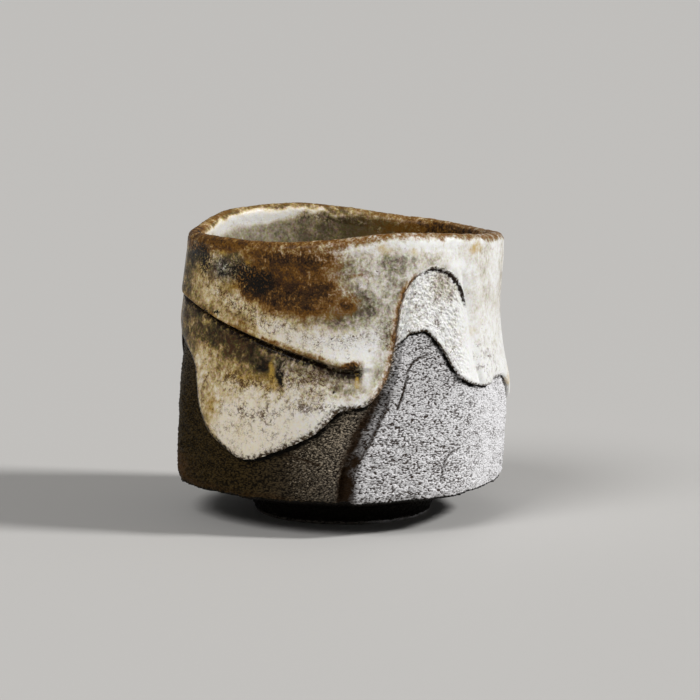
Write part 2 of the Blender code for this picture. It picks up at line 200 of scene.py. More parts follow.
FOLD_CUT_DEPTH, FOLD_CUT_HALF_WIDTH, FOLD_CUT_DROP = 0.55, 0.4, 0.55  # sharp cut just under the overhang
WAVER = 0.14
WAVER_WAVES = ((3, 6.0), (5, -9.0))

# Where the coats end
GLAZE_EDGE = smooth_curve(
    [(-150, 27), (-122, 19), (-100, 28), (-86, 35), (-74, 32.8), (-65, 29), (-60, 22), (-53, 17.5),
     (-45, 15.3), (-36, 13.6), (-22, 16), (-9, 19.4), (0, 23.4), (8, 24.3), (16, 29), (18.5, 34),
     (21.2, 42), (24, 45.2), (29, 47.5), (35, 48.4), (42, 47.4), (47.5, 44.8), (50.5, 40), (52, 29),
     (56, 26.2), (62, 25.8), (68, 26.6), (80, 26.2), (98, 20), (116, 19), (140, 29), (165, 33)],
    FULL_TURN,
)
THIN_EDGE = smooth_curve(
    [(19, 34.6), (21.5, 35.6), (25.6, 37.1), (30.6, 37.1), (34, 36.3), (37.4, 34.7), (40, 32.8),
     (42.5, 30.3), (45.5, 28.2), (50, 26.9), (57, 26.1)]
)
THIN_FIRST_ANGLE, THIN_LAST_ANGLE = 18.6, 58.0
LIP_BAND_OUTSIDE = smooth_curve(
    [(-120, 2.3), (-70, 2.8), (-10, 2.8), (25, 2.1), (90, 2.0), (170, 2.1)],
    FULL_TURN,
)
LIP_BAND_INSIDE = smooth_curve(
    [(-150, 2.0), (-40, 2.0), (60, 2.2), (105, 3.4), (140, 4.4), (172, 2.4)],
    FULL_TURN,
)
THIN_THICKNESS = smooth_curve([(18.6, 0), (20.5, 0.4), (30, 0.55), (45, 0.7), (53, 0.7), (58, 0)])
GLAZE_THICKNESS = smooth_curve([(0, 0.6), (0.7, 0.9), (1.2, 1.02), (2.2, 1.1), (7, 0.95), (60, 0.9)])
GLAZE_LIP_FADE = 6.0
LIP_OVERLAP, LIP_TUCK = 2.0, 0.06  # where the lip's coat and its neighbours thin out over each other
BEAD_SECTION = [
    (0.45, -0.08), (0.16, 0.1), (0.02, 0.3), (0.04, 0.48), (0.14, 0.62), (0.32, 0.75), (0.6, 0.88),
]
EDGE_SWELL = smooth_curve(
    [(-150, 0.9), (-60, 0.85), (-36, 1.0), (-22, 1.25), (4, 1.3), (10, 0.9), (20, 0.6), (30, 0.9),
     (42, 1.1), (70, 1.0)],
    FULL_TURN,
)
BEAD_STRENGTH = smooth_curve([(45, 1), (50, 0.0), (54, 0.0), (57.5, 1)], FULL_TURN)

EDGE_WAVES = ((0.22, 3.1), (0.12, 1.1))  # small unevenness of a coat's edge: height and lump
GLAZE_EDGE_SEED, THIN_EDGE_SEED = 100, 200
EDGE_SAMPLES = np.linspace(-HALF_TURN, HALF_TURN, 2880, endpoint=False)
MERGE_DISTANCE = 1e-7
STRENGTH_STEPS = 10  # steps in which a mark sets the strength of the relief


def around_wall(angle, height):
    """Points on a plain cylinder of the cup's mean radius, in millimetres."""
    turned = np.radians(angle)
    right, back = MEAN_RADIUS * np.sin(turned), -MEAN_RADIUS * np.cos(turned)
    return np.stack([right, back, height + 0 * turned], axis=-1)


def cloud(points, lump):
    """Smooth noise from about -1 to 1 with lumps of this size, at points in millimetres."""
    flat = (points.reshape(-1, 3) / lump).tolist()
    return np.array([noise.noise(point) for point in flat]).reshape(points.shape[:-1])


def waves(points, sizes):
    """Noise of several sizes, each given by its height and its lump in millimetres."""
    return sum(height * cloud(points, lump) for height, lump in sizes)


def glaze_edge(angle):
    """Height of the thick coat's edge, with its small unevenness."""
    return GLAZE_EDGE(turn(angle)) + waves(around_wall(angle, GLAZE_EDGE_SEED), EDGE_WAVES)


def thin_edge(angle):
    """Height of the thin coat's lower edge, with its small unevenness."""
    return THIN_EDGE(turn(angle)) + waves(around_wall(angle, THIN_EDGE_SEED), EDGE_WAVES)


def distance_to_line(line_angle, line_height):
    """A function that gives the distance on the wall from a line through these points, in millimetres."""
    tree = kdtree.KDTree(len(line_angle))
    for i, point in enumerate(around_wall(np.asarray(line_angle), np.asarray(line_height))):
        tree.insert(point, i)
    tree.balance()

    def distance(angle, height):
        points = around_wall(angle, height)
        found = [tree.find(point)[2] for point in points.reshape(-1, 3)]
        return np.array(found).reshape(points.shape[:-1])

    return distance


def drawn_line(points, spacing=0.1):
    """Closely spaced angles and heights along straight runs between the points."""
    angles, heights = [], []
    for (angle, height), (next_angle, next_height) in zip(points, points[1:]):
        length = math.hypot(math.radians(next_angle - angle) * MEAN_RADIUS, next_height - height)
        shares = np.linspace(0, 1, max(2, int(length / spacing)))
        angles.extend(between(angle, next_angle, shares))
        heights.extend(between(height, next_height, shares))
    return np.array(angles), np.array(heights)


def lean(angle_from_crease, height):
    """How far the wall has leant to the right with the crease at this height, in degrees."""
    return (CREASE_ANGLE(height) - CREASE_FOOT_ANGLE) * bell(angle_from_crease, LEAN_SPREAD)


def flats(angle):
    """Radius taken off by the flats: none at their edges, most at their middles."""
    first = FLATS[0][0]
    angle = (np.asarray(angle, float) - first) % FULL_TURN + first
    off = np.zeros_like(angle)
    for (start, depth), (end, _) in zip(FLATS, FLATS[1:]):
        share = np.clip((angle - start) / (end - start), 0, 1)
        off += depth * np.sin(np.pi * share)
    return off


def sides(angle, height):
    """Radius added on the right and left sides."""
    right = bell(turn(angle - RIGHT_SIDE_ANGLE), RIGHT_SIDE_SPREAD)
    left = bell(turn(angle - LEFT_SIDE_ANGLE), LEFT_SIDE_SPREAD)
    return right * RIGHT_SIDE(height) + left * LEFT_SIDE(height)


def body_radius(angle, height):
    """The clay's outer form without its fold and crease."""
    upright_angle = angle - lean(turn(angle - CREASE_ANGLE(height)), height)
    waver = sum(np.sin(count * np.radians(angle) + height / drift) for count, drift in WAVER_WAVES)
    return WALL_RADIUS_BY_HEIGHT(height) + sides(angle, height) - flats(upright_angle) + WAVER * waver


def fold_relief(angle, height):
    """The shoulder above the fold line, the hollow under it and the sharp cut between them."""
    above = height - FOLD_HEIGHT(turn(angle))
    swell = FOLD_SWELL * np.exp(-np.maximum(above, 0) / FOLD_SWELL_REACH)
    hollow = -FOLD_HOLLOW * np.exp(np.minimum(above, 0) / FOLD_HOLLOW_REACH)
    step = fade(above, -FOLD_HALF_STEP, FOLD_HALF_STEP)
    cut = FOLD_CUT_DEPTH * bell(above + FOLD_CUT_DROP, FOLD_CUT_HALF_WIDTH)
    return FOLD_STRENGTH(turn(angle)) * (between(hollow, swell, step) - cut)


def across_crease(angle, height):
    """Distance to the right of the crease's line, in millimetres."""
    return np.radians(turn(angle - CREASE_ANGLE(height))) * WALL_RADIUS_BY_HEIGHT(height)


def crease_relief(angle, height):
    """The groove up the front and the raised facet on its right."""
    return CREASE_DEPTH(height) * CREASE_SECTION(across_crease(angle, height) / CREASE_WIDTH(height))


def wall_radius(angle, height):
    """The clay's outer surface."""
    return body_radius(angle, height) + fold_relief(angle, height) + crease_relief(angle, height)


def lip_centre(angle):
    """Radius and height of the middle of the clay lip's half round."""
    height = RIM_HEIGHT(turn(angle)) - LIP_COAT - LIP_HALF_THICKNESS
    return wall_radius(angle, height) - LIP_HALF_THICKNESS, height


def bore_radius(angle, height):
    """The clay's inside surface above the floor's fillet."""
    lip_radius, lip_height = lip_centre(angle)
    at_lip = lip_radius - LIP_HALF_THICKNESS
    under_wall = body_radius(angle, height) - WALL_THICKNESS
    return between(at_lip, under_wall, fade(lip_height - height, 0, LIP_TAPER))


def columns(count, crowding):
    """Angles of mesh columns that stand closer together at the front."""
    even = np.linspace(-HALF_TURN, HALF_TURN, count, endpoint=False)
    return even - crowding * np.sin(np.radians(even))


# Painting: soft dabs (angle, height, half width, half height, tilt in degrees, strength) on the unrolled wall
IRON_DABS = [
    (-26, 49.9, 5.8, 2.1, 0, 0.6), (-13, 49.5, 6.0, 2.3, 0, 0.66), (-28, 45.9, 5.2, 2.6, -10, 0.76),
    (-18, 45.1, 5.6, 3.0, -12, 0.65), (-9, 45.0, 4.0, 3.0, 0, 0.58), (-14, 42.3, 4.8, 1.7, -8, 0.42),
    (-4, 45.4, 1.6, 2.0, 0, 0.42), (2.5, 42.4, 2.2, 1.6, -12, 0.62), (1, 43.6, 1.9, 2.6, 0, 0.22),
    (7, 47.7, 2.1, 0.6, -8, 0.4), (-28, 36.2, 3.4, 0.5, -22, 0.6), (-18, 34.5, 3.0, 0.5, -20, 0.5),
    (-9, 32.8, 2.4, 0.5, -20, 0.5), (2.5, 31.5, 2.2, 0.9, 0, 0.8), (-64, 52.5, 3.5, 1.5, 0, 0.5),
    (-40, 38.5, 3.4, 0.5, -22, 0.45), (-35, 45.8, 4.2, 2.6, -10, 0.5), (-6, 50.6, 3.4, 1.6, 0, 0.4),
    (-33, 51.0, 5.0, 1.4, 0, 0.4), (-20, 51.2, 8.0, 1.2, 0, 0.36), (-8, 51.6, 4.0, 1.0, 0, 0.36),
    (-16, 43.2, 8.0, 3.6, -8, 0.22), (-33, 43.6, 4.2, 2.2, -14, 0.55), (-24, 42.4, 4.2, 2.0, -10, 0.5),
    (-7, 40.9, 5.0, 1.4, 0, 0.2), (-40, 44.8, 4.0, 2.0, 0, 0.2), (-105, 49.0, 5.0, 2.5, 0, 0.6),
    (165, 48.5, 7.0, 2.2, 8, 0.7), (120, 47.5, 3.0, 3.0, 0, 0.5), (-150, 50.5, 6.0, 2.0, 0, 0.6),
]
SOOT_DABS = [
    (-61, 48.2, 2.2, 2.4, 0, 0.75), (-40, 47.8, 3.4, 2.0, 0, 0.65), (-50, 48.6, 4.0, 1.6, 0, 0.4),
    (-50, 47.0, 1.2, 0.6, 0, 0.7), (-32, 46.3, 2.2, 1.7, 0, 0.55), (-33, 45.4, 3.2, 1.6, 0, 0.5),
    (-56, 39.5, 2.4, 0.6, -30, 0.7), (-51, 40.0, 0.9, 0.4, 0, 0.7), (-30, 30.7, 1.7, 0.7, 0, 0.6),
    (-120, 46.0, 3.0, 2.0, 0, 0.5), (-22, 29.8, 0.9, 2.6, 0, 0.75), (3, 42.2, 1.6, 1.0, -12, 0.3),
    (-34, 46.4, 4.0, 2.6, 0, 0.4), (3.5, 31.0, 1.8, 0.6, 0, 0.6), (-63, 50.6, 1.6, 1.2, 0, 0.6),
    (-69, 50.6, 3.2, 2.0, 0, 0.8),
]
# Some thin dabs are painted shade: those under the fold stand for the shade of its overhang as well as olive
# glaze, and those at -79, -75 and 84 degrees darken the sides where they turn from the light
THIN_DABS = [
    (-72, 45.5, 3.7, 4.5, 0, 0.36), (-46, 47.2, 8.4, 3.6, 0, 0.61), (-54, 42.4, 8.5, 2.2, -10, 0.06),
    (-37, 42.8, 6.1, 1.7, -12, 0.08), (-56, 40.1, 5.3, 1.3, -25, 0.32), (-41, 39.4, 5.5, 0.9, -20, 0.34),
    (-52, 35.4, 7.0, 3.4, -12, 0.8), (-35, 33.1, 6.2, 3.3, -12, 0.78), (-29, 31.1, 4.2, 2.6, 0, 0.6),
    (-67, 29.1, 2.9, 6.4, 0, 0.45), (-14, 31.6, 5.0, 2.1, -15, 0.42), (-4, 29.2, 4.5, 2.2, -10, 0.32),
    (-40, 29.0, 7.3, 2.0, 0, 0.27), (-56, 22.5, 4.0, 4.9, 0, 0.36), (-36, 25.6, 7.8, 1.8, 0, 0.06),
    (-11, 25.5, 3.8, 1.9, 0, 0.25), (-20, 47.9, 9.9, 4.9, -6, 0.6), (-15, 44.6, 8.5, 4.6, -8, 0.5),
    (1, 48.1, 4.1, 4.1, 0, 0.16), (10, 49.3, 4.6, 2.2, 0, 0.22), (11, 43.6, 4.4, 4.7, 0, 0.27),
    (19, 45.2, 2.4, 4.9, 0, 0.32), (1, 41.5, 2.6, 2.2, 0, 0.3), (16.5, 36.5, 2.0, 4.2, 0, 0.5),
    (12.5, 30.0, 1.5, 3.2, -30, 0.42), (-85, 40.0, 9.0, 9.0, 0, 0.5), (-115, 38.0, 12.0, 9.0, 0, 0.45),
    (150, 38.0, 14.0, 7.0, 0, 0.4), (-150, 42.0, 12.0, 8.0, 0, 0.4), (110, 42.0, 8.0, 7.0, 0, 0.25),
    (175, 46.0, 14.0, 5.0, 0, 0.4), (-52, 34.0, 16.0, 16.0, 0, 0.14), (62, 40.0, 14.0, 16.0, 0, 0.1),
    (33, 50.6, 3.4, 1.6, 0, 0.28), (64, 44.0, 4.0, 8.0, 0, 0.16), (-56, 50.4, 9.0, 1.5, 0, 0.5),
    (-4, 50.4, 3.6, 1.8, 0, 0.4), (-13, 41.0, 7.0, 2.4, -6, 0.5), (3, 40.6, 4.6, 2.4, 0, 0.45),
    (3, 42.0, 3.4, 2.6, 0, 0.42), (84, 45.0, 2.6, 9.0, 0, 0.32), (-72, 50.6, 4.5, 3.0, 0, 0.7),
    (-63, 38.8, 3.5, 2.4, -20, 0.45), (-75, 37.5, 4.2, 5.5, 0, 0.62), (-79, 46.5, 4.0, 4.5, 0, 0.5),
    (17, 50.4, 7.0, 2.2, 0, 0.25), (30, 49.6, 5.0, 1.8, 0, 0.25), (58, 51.0, 5.0, 1.8, 0, 0.2),
    (20, 46.5, 4.0, 3.0, 0, 0.2), (2, 27.0, 4.5, 1.6, -10, 0.34), (60, 47.0, 4.0, 3.0, 0, 0.06),
    (53, 42.0, 2.0, 4.0, 0, 0.06), (72, 38.0, 3.0, 4.0, 0, 0.1), (-22.2, 29.8, 0.8, 2.6, 0, 0.85),
]
# The first patch dab is painted shade on the thin coat under the arch of the thick coat
PATCH_DABS = [
    (41, 45.2, 3.6, 2.2, -35, 0.36), (33, 41.0, 8.0, 6.0, 0, 0.07), (46, 36.5, 2.0, 3.0, 0, 0.15),
]
OCHRE_DABS = [
    (-62, 46.5, 3.0, 2.0, 0, 0.35), (-47, 44.8, 4.0, 1.2, 0, 0.4), (-28, 48.8, 3.0, 0.9, 0, 0.35),
    (-51, 50.6, 2.1, 0.7, 0, 0.75), (-38, 49.7, 1.0, 0.7, 0, 0.85), (-41, 44.9, 1.7, 0.7, 0, 0.6),
    (-53, 38.9, 2.5, 0.9, 0, 0.5), (-35, 28.7, 6.0, 1.3, 0, 0.55), (-25.2, 30.4, 0.6, 2.2, 0, 0.9),
    (-26, 27.8, 1.3, 1.1, 0, 0.6), (-52, 22.8, 1.8, 2.6, 0, 0.45), (15, 52.3, 2.4, 1.3, 0, 0.5),
    (26, 52.2, 1.4, 1.2, 0, 0.42), (56, 51.4, 3.0, 1.2, 0, 0.6), (53, 36.2, 1.6, 1.1, 0, 0.35),
    (5, 29.0, 0.4, 1.7, 0, 0.8), (10, 26.9, 1.5, 1.5, 0, 0.5), (-4, 40.4, 1.9, 0.9, 0, 0.35),
    (-85, 38.0, 3.0, 4.0, 0, 0.6), (-115, 26.0, 5.0, 3.0, 0, 0.5), (140, 32.0, 6.0, 2.0, 0, 0.5),
    (86, 24.0, 2.0, 4.0, 0, 0.55),
]
SPECK_DABS = [
    (-50, 46.8, 7.5, 2.6, 0, 0.6), (-44, 41.6, 9.5, 2.4, -20, 0.7), (-20, 38.3, 8.0, 2.2, -18, 0.45),
    (-1, 36.4, 5.6, 2.4, 0, 0.4), (10, 37.0, 6.0, 3.0, 0, 0.28), (-45, 34.3, 8.9, 3.4, 0, 0.7),
    (-11, 29.5, 7.2, 3.0, 0, 0.75), (-38, 27.8, 8.5, 2.4, 0, 0.8), (-33, 22.6, 9.0, 2.2, 0, 0.66),
    (-25, 18.1, 7.5, 2.6, 0, 0.5), (-11, 24.6, 5.7, 2.4, 0, 0.65), (11, 46.3, 7.6, 6.4, 0, 0.3),
    (-60, 23.2, 3.7, 6.4, 0, 0.55), (18, 37.1, 2.8, 3.7, 0, 0.5), (-18, 47.1, 8.7, 4.9, 0, 0.5),
    (-85, 40.0, 9.0, 8.0, 0, 0.7), (-130, 36.0, 14.0, 10.0, 0, 0.6), (60, 31.0, 9.0, 6.0, 0, 0.42),
    (160, 38.0, 20.0, 10.0, 0, 0.55),
]
COOL_DABS = [
    (-50, 47.8, 3.6, 2.2, 0, 0.9), (-38, 48.6, 2.4, 1.5, 0, 0.6), (-22, 31.0, 4.0, 2.0, -15, 0.5),
    (-8, 30.2, 7.0, 2.6, -15, 0.5),
]
COOL_BY_ANGLE = smooth_curve(
    [(-150, 0.2), (-40, 0.05), (-18, 0.3), (0, 0.7), (18, 0.95), (80, 1.0), (130, 0.5)],
    FULL_TURN,
)
IRON_BAND_LOW = smooth_curve(
    [(-150, 52.4), (-110, 51.0), (-70, 50.6), (-47, 50.7), (-29, 50.5), (-14, 49.8), (-9, 50.6),
     (-3, 52.2), (3, 52.9), (13, 53.5), (20, 53.9), (45, 53.3), (72, 52.2), (112, 51.0), (150, 51.2),
     (180, 52.6)],
    FULL_TURN,
)
IRON_BAND_STRENGTH = smooth_curve(
    [(-150, 0.28), (-110, 0.4), (-85, 0.64), (-20, 0.54), (20, 0.44), (70, 0.45), (110, 0.55),
     (150, 0.42), (180, 0.3)],
    FULL_TURN,
)
PALE_FROM_CREASE = smooth_curve(
    [(-150, 0.3), (-110, 0.1), (-75, 0.0), (-40, 0.0), (-12, 0.03), (0, 0.07), (4, 0.5), (8, 0.8),
     (30, 0.85), (60, 0.95), (90, 0.9), (130, 0.5)],
    FULL_TURN,
)
BLEACH_BY_ANGLE = smooth_curve(
    [(-180, 0), (30, 0.0), (48, 0.3), (66, 0.6), (95, 0.5), (140, 0), (180, 0)]
)
# How far the painted shadow under the coats' edges reaches on the clay, mixed with dark iron flashing there
EDGE_SHADE_REACH = smooth_curve(
    [(-150, 0.5), (-60, 0.5), (-38, 0.5), (-24, 0.85), (6, 0.9), (14, 0.45), (22, 0.5), (50, 0.55),
     (68, 0.35), (80, 0.15), (110, 0.15), (130, 0.5)],
    FULL_TURN,
)
CRACKS = [
    [(33.1, 32.8), (29.5, 32.4), (26.4, 31.6), (24.1, 30.1), (23.0, 27.9), (21.5, 25.8), (19.7, 23.5)],
    [(42.6, 15.1), (39.3, 14.0), (37.6, 12.4), (36.7, 9.5)],
    [(-21.7, 15.2), (-17.4, 14.9), (-12.8, 14.3), (-7.6, 13.5)],
]
NOTCH_LINE = [(-22.0, 32.4), (-22.0, 30.3), (-22.6, 27.6)]
PINHOLES = [(-2.8, 26.8), (-25.1, 21.3)]
GLAZE_DABS = {
    "iron": IRON_DABS, "soot_and_shade": SOOT_DABS, "thin": THIN_DABS, "ochre": OCHRE_DABS, "specks": SPECK_DABS,
    "cool": COOL_DABS,
}


# Paint that follows the form: strengths from 0 to 1, reaches in millimetres, and fades as (start, end)
DAB_SHIFTS_ASIDE = ((1.0, 3.5), (0.5, 1.2))
DAB_SHIFTS_UP = ((0.8, 3.5), (0.4, 1.2))
BAND_HALF_FADE, BAND_THIN = 0.7, 0.55
FOLD_PAINT_ENDS = (0.2, 0.6)  # strengths of the fold between which its paint sets in
# The fold's line is a painted shadow line under its overhang; its shade is painted shade below it, laid in as
# the thin coat's olive over glaze that is olive there too
FOLD_LINE, FOLD_LINE_DROP, FOLD_LINE_REACH = 0.8, 0.3, 1.15
FOLD_SHADE, FOLD_SHADE_REACH, FOLD_SHADE_TOP = 0.75, 2.4, (0.7, 0.1)
FRINGE_RISE, FRINGE_REACH, FRINGE_IRON, FRINGE_THIN = 0.8, 1.0, 0.36, 0.55
# The notch is painted as a soft dark smudge, partly painted shade in the notch and partly dark glaze; most of
# it comes from the soot and thin dabs at -22 degrees
NOTCH_PAINT, NOTCH_PAINT_REACH, PINHOLE_PAINT_REACH = 0.25, 0.9, 0.35
LEFT_SPECKS, LEFT_SPECK_ANGLES = 0.35, (15, -10)

# Paint inside the cup: its places by angle, and the depths under the lip over which each coat fades,
# away from the pale left side and on it
INSIDE_SHIFTS = ((0.8, 3.0),)
INSIDE_RIGHT_ANGLE, INSIDE_RIGHT_SPREAD = 120, 45
INSIDE_LEFT_ANGLE, INSIDE_LEFT_SPREAD = -130, 40
INSIDE_BACK_ANGLES = (85, 110)
RIM_IRON, RIM_IRON_BACK, RIM_IRON_DEPTHS = 0.5, 0.24, ((1.7, 0.7), (1.0, 0.3))
RIM_THIN, RIM_THIN_BACK, RIM_THIN_DEPTHS = 0.42, 0.52, ((2.0, 1.0), (1.2, 0.45))
POOL_THIN, POOL_THIN_LEFT, POOL_DEPTHS = 0.72, 0.52, ((0.1, 1.6), (2.5, 4.6))
RIGHT_IRON, RIGHT_IRON_DEPTHS = 0.8, (16, 7)
RIGHT_OCHRE, RIGHT_OCHRE_DEPTHS = 0.5, (18, 4)
INSIDE_SPECK_SHARE = 0.25
INSIDE_COOL, INSIDE_COOL_LEFT, INSIDE_COOL_DEPTHS = 0.25, 0.55, (1.0, 1.8)

# Paint and relief of the bare clay: angles from the crease, and places across it as shares of its width
UPPER_FACET, UPPER_FACET_LEFT, UPPER_FACET_RIGHT, UPPER_FACET_LOW = 0.85, (-1.5, 2), (40, 20), (24, 28)
ARCH_DULLING, ARCH_DULLING_HEIGHTS = 0.15, (21, 28)
# Glints are painted highlights on the left clay's crumbs near the crease
GLINTS_LEFT, GLINTS_RIGHT = (-34, -8), (4, 0)
GLINTS_LOW, GLINTS_GAIN, GLINTS_HEIGHTS = 0.65, 0.3, (6, 16)
THIN_SHOWS_FROM, THIN_SHOWS_TO = 20, 56  # between these angles the clay meets the thin coat
STEEP_EDGE = [(15, 28), (16, 29), (18.5, 34), (20, 36)]  # the thick coat's steep run beside the crease
GROOVE_SHIFTS = ((0.07, 1.5),)
# The groove mark is brown clay in the crease, darkened in its core and lower fill as painted shade in the
# groove
GROOVE_CORE_PLACE, GROOVE_CORE_REACH, GROOVE_CORE_TOP = 0.25, 0.42, (31, 24)
GROOVE_FILL_LEFT, GROOVE_FILL_RIGHT, GROOVE_FILL_TOP = (-0.8, 0.2), (1.7, 0.6), (24, 12)
GROOVE_STRIP, GROOVE_STRIP_LEFT, GROOVE_STRIP_RIGHT = 0.12, (0.0, 0.3), (1.15, 0.9)
RIGHT_LINE, RIGHT_LINE_PLACE, RIGHT_LINE_REACH, RIGHT_LINE_TOP = 0.85, 1.0, 0.15, (28, 24)
CRACK_PAINT, CRACK_PAINT_REACH = 0.95, 0.18
CLAY_MARKS = ("bare", "pale", "glints", "bleach", "edge", "groove", "scorch", "under")
CRACK_DEPTH, CRACK_REACH = 0.25, 0.25
CLAY_WAVES, CLAY_SINK = ((0.1, 2.4),), 0.1  # soft unevenness of the wall, sunk to stay within the solid
SCORCH_DABS = [
    (-80, 10, 8, 3, 0, 0.8), (-62, 7.2, 10, 1.1, 0, 0.6), (-30, 6.8, 9, 1.0, 0, 0.4),
    (-20, 10, 10, 5, 0, 0.15), (20, 9, 8, 4, 0, 0.12),
]


def painted(angle, height, dabs):
    """How strongly the dabs cover each point of the wall, from 0 to 1."""
    bare = np.ones(np.broadcast(angle, height).shape)
    for at_angle, at_height, half_width, half_height, tilt, strength in dabs:
        across = np.radians(turn(angle - at_angle)) * MEAN_RADIUS
        up = height - at_height
        slope = math.radians(tilt)
        along = (across * math.cos(slope) + up * math.sin(slope)) / half_width
        over = (up * math.cos(slope) - across * math.sin(slope)) / half_height
        bare *= 1 - strength * np.exp(-(along**2) - over**2)
    return 1 - bare


def uneven(angle, height):
    """The places moved a little by noise, so that stains painted there get uneven outlines."""
    points = around_wall(angle, height)
    aside = waves(points, DAB_SHIFTS_ASIDE)
    aloft = waves(points + MEAN_RADIUS, DAB_SHIFTS_UP)
    return angle + np.degrees(aside / MEAN_RADIUS), height + aloft


def glaze_marks(angle, height):
    """The paint of the thick coat and of the lip: how much of each stain lies at each point."""
    front = turn(angle)
    moved_angle, moved_height = uneven(angle, height)
    marks = {mark: painted(moved_angle, moved_height, dabs) for mark, dabs in GLAZE_DABS.items()}
    band = fade(moved_height - IRON_BAND_LOW(front), -BAND_HALF_FADE, BAND_HALF_FADE)
    fold_gap = (moved_height + height) / 2 - FOLD_HEIGHT(front) + FOLD_CUT_DROP
    at_fold = fade(FOLD_STRENGTH(front), *FOLD_PAINT_ENDS)
    fringe = at_fold * bell(fold_gap - FRINGE_RISE, FRINGE_REACH)
    # painted shade and a painted shadow line under the fold's overhang
    shade = at_fold * bell(np.maximum(-fold_gap, 0), FOLD_SHADE_REACH) * fade(fold_gap, *FOLD_SHADE_TOP)
    line = at_fold * bell(fold_gap + FOLD_LINE_DROP, FOLD_LINE_REACH)
    notch = distance_to_line(*drawn_line(NOTCH_LINE))(moved_angle, moved_height)
    hole = distance_to_line(*np.transpose(PINHOLES))(angle, height)
    for mark, others in {
        "iron": [IRON_BAND_STRENGTH(front) * band, FRINGE_IRON * fringe],
        "thin": [FOLD_SHADE * shade, FRINGE_THIN * fringe, BAND_THIN * band],
        "specks": [LEFT_SPECKS * fade(front, *LEFT_SPECK_ANGLES)],
        "cool": [COOL_BY_ANGLE(front)],
    }.items():
        marks[mark] = np.maximum.reduce([marks[mark], *others])
    marks["line"] = np.maximum.reduce(
        [FOLD_LINE * line, NOTCH_PAINT * bell(notch, NOTCH_PAINT_REACH), bell(hole, PINHOLE_PAINT_REACH)]
    )
    marks["edge"] = np.zeros(angle.shape)
    return marks


def inside_marks(angle, height):
    """The paint inside: rust on the lip, cream under it on the left, then olive, and brown on the right."""
    moved = RIM_HEIGHT(turn(angle)) - height + waves(around_wall(angle, height), INSIDE_SHIFTS)
    right = bell(turn(angle - INSIDE_RIGHT_ANGLE), INSIDE_RIGHT_SPREAD)
    left = bell(turn(angle - INSIDE_LEFT_ANGLE), INSIDE_LEFT_SPREAD)
    back = fade(np.abs(turn(angle)), *INSIDE_BACK_ANGLES)

    def reaching(depths):
        (start, end), (left_start, left_end) = depths
        return fade(moved, between(start, left_start, left), between(end, left_end, left))

    rim_iron = between(RIM_IRON, RIM_IRON_BACK, back) * reaching(RIM_IRON_DEPTHS)
    rim_thin = between(RIM_THIN, RIM_THIN_BACK, back) * reaching(RIM_THIN_DEPTHS)
    pooled = between(POOL_THIN, POOL_THIN_LEFT, left) * reaching(POOL_DEPTHS)
    marks = {mark: np.zeros(angle.shape) for mark in ("soot_and_shade", "line", "edge")}
    marks["iron"] = np.maximum(rim_iron, RIGHT_IRON * right * fade(moved, *RIGHT_IRON_DEPTHS))
    marks["ochre"] = RIGHT_OCHRE * right * fade(moved, *RIGHT_OCHRE_DEPTHS)
    marks["thin"] = np.maximum(pooled, rim_thin)
    marks["specks"] = INSIDE_SPECK_SHARE * marks["thin"]
    marks["cool"] = INSIDE_COOL + INSIDE_COOL_LEFT * left * fade(moved, *INSIDE_COOL_DEPTHS)
    return marks


def clay_marks(angle, height, crack):
    """The paint of the bare wall, where crack is the distance to the nearest crack."""
    front = turn(angle)
    from_crease = turn(angle - CREASE_ANGLE(height))
    facet = fade(from_crease, *UPPER_FACET_LEFT) * fade(from_crease, *UPPER_FACET_RIGHT)
    facet = UPPER_FACET * facet * fade(height, *UPPER_FACET_LOW)
    dulling = 1 - ARCH_DULLING * fade(height, *ARCH_DULLING_HEIGHTS)
    # painted highlights on the crumbs near the crease
    glints = fade(from_crease, *GLINTS_LEFT) * fade(from_crease, *GLINTS_RIGHT)
    thin_shows = (EDGE_SAMPLES > THIN_SHOWS_FROM) & (EDGE_SAMPLES < THIN_SHOWS_TO)
    edge_line = np.where(thin_shows, thin_edge(EDGE_SAMPLES), glaze_edge(EDGE_SAMPLES))
    steep_angles, steep_heights = drawn_line(STEEP_EDGE)
    to_edge = distance_to_line(
        np.concatenate([EDGE_SAMPLES, steep_angles]), np.concatenate([edge_line, steep_heights])
    )(angle, height)
    across = across_crease(angle, height) / CREASE_WIDTH(height)
    across = across + waves(around_wall(angle, height), GROOVE_SHIFTS)
    # painted shade in the groove's core and lower fill, over brown clay
    core = bell(across - GROOVE_CORE_PLACE, GROOVE_CORE_REACH) * fade(height, *GROOVE_CORE_TOP)
    filled = fade(across, *GROOVE_FILL_LEFT) * fade(across, *GROOVE_FILL_RIGHT)
    filled = filled * fade(height, *GROOVE_FILL_TOP)
    strip = GROOVE_STRIP * fade(across, *GROOVE_STRIP_LEFT) * fade(across, *GROOVE_STRIP_RIGHT)
    right_line = bell(across - RIGHT_LINE_PLACE, RIGHT_LINE_REACH) * fade(height, *RIGHT_LINE_TOP)
    return {
        "pale": np.maximum(PALE_FROM_CREASE(from_crease), facet) * dulling,
        "glints": glints * (GLINTS_LOW + GLINTS_GAIN * fade(height, *GLINTS_HEIGHTS)),
        "bleach": BLEACH_BY_ANGLE(front),
        # painted shadow under the coats' edges, with some dark iron flashing
        "edge": bell(to_edge, EDGE_SHADE_REACH(front)),
        "groove": np.maximum.reduce(
            [core, filled, strip, RIGHT_LINE * right_line, CRACK_PAINT * bell(crack, CRACK_PAINT_REACH)]
        ),
        "scorch": painted(angle, height, SCORCH_DABS),
    }


def grid(rows):
    """The angles, radii and heights of a piece's rows as three arrays of one shape."""
    shape = rows[0][0].shape
    return [np.array([np.broadcast_to(part, shape) for part in parts]) for parts in zip(*rows)]


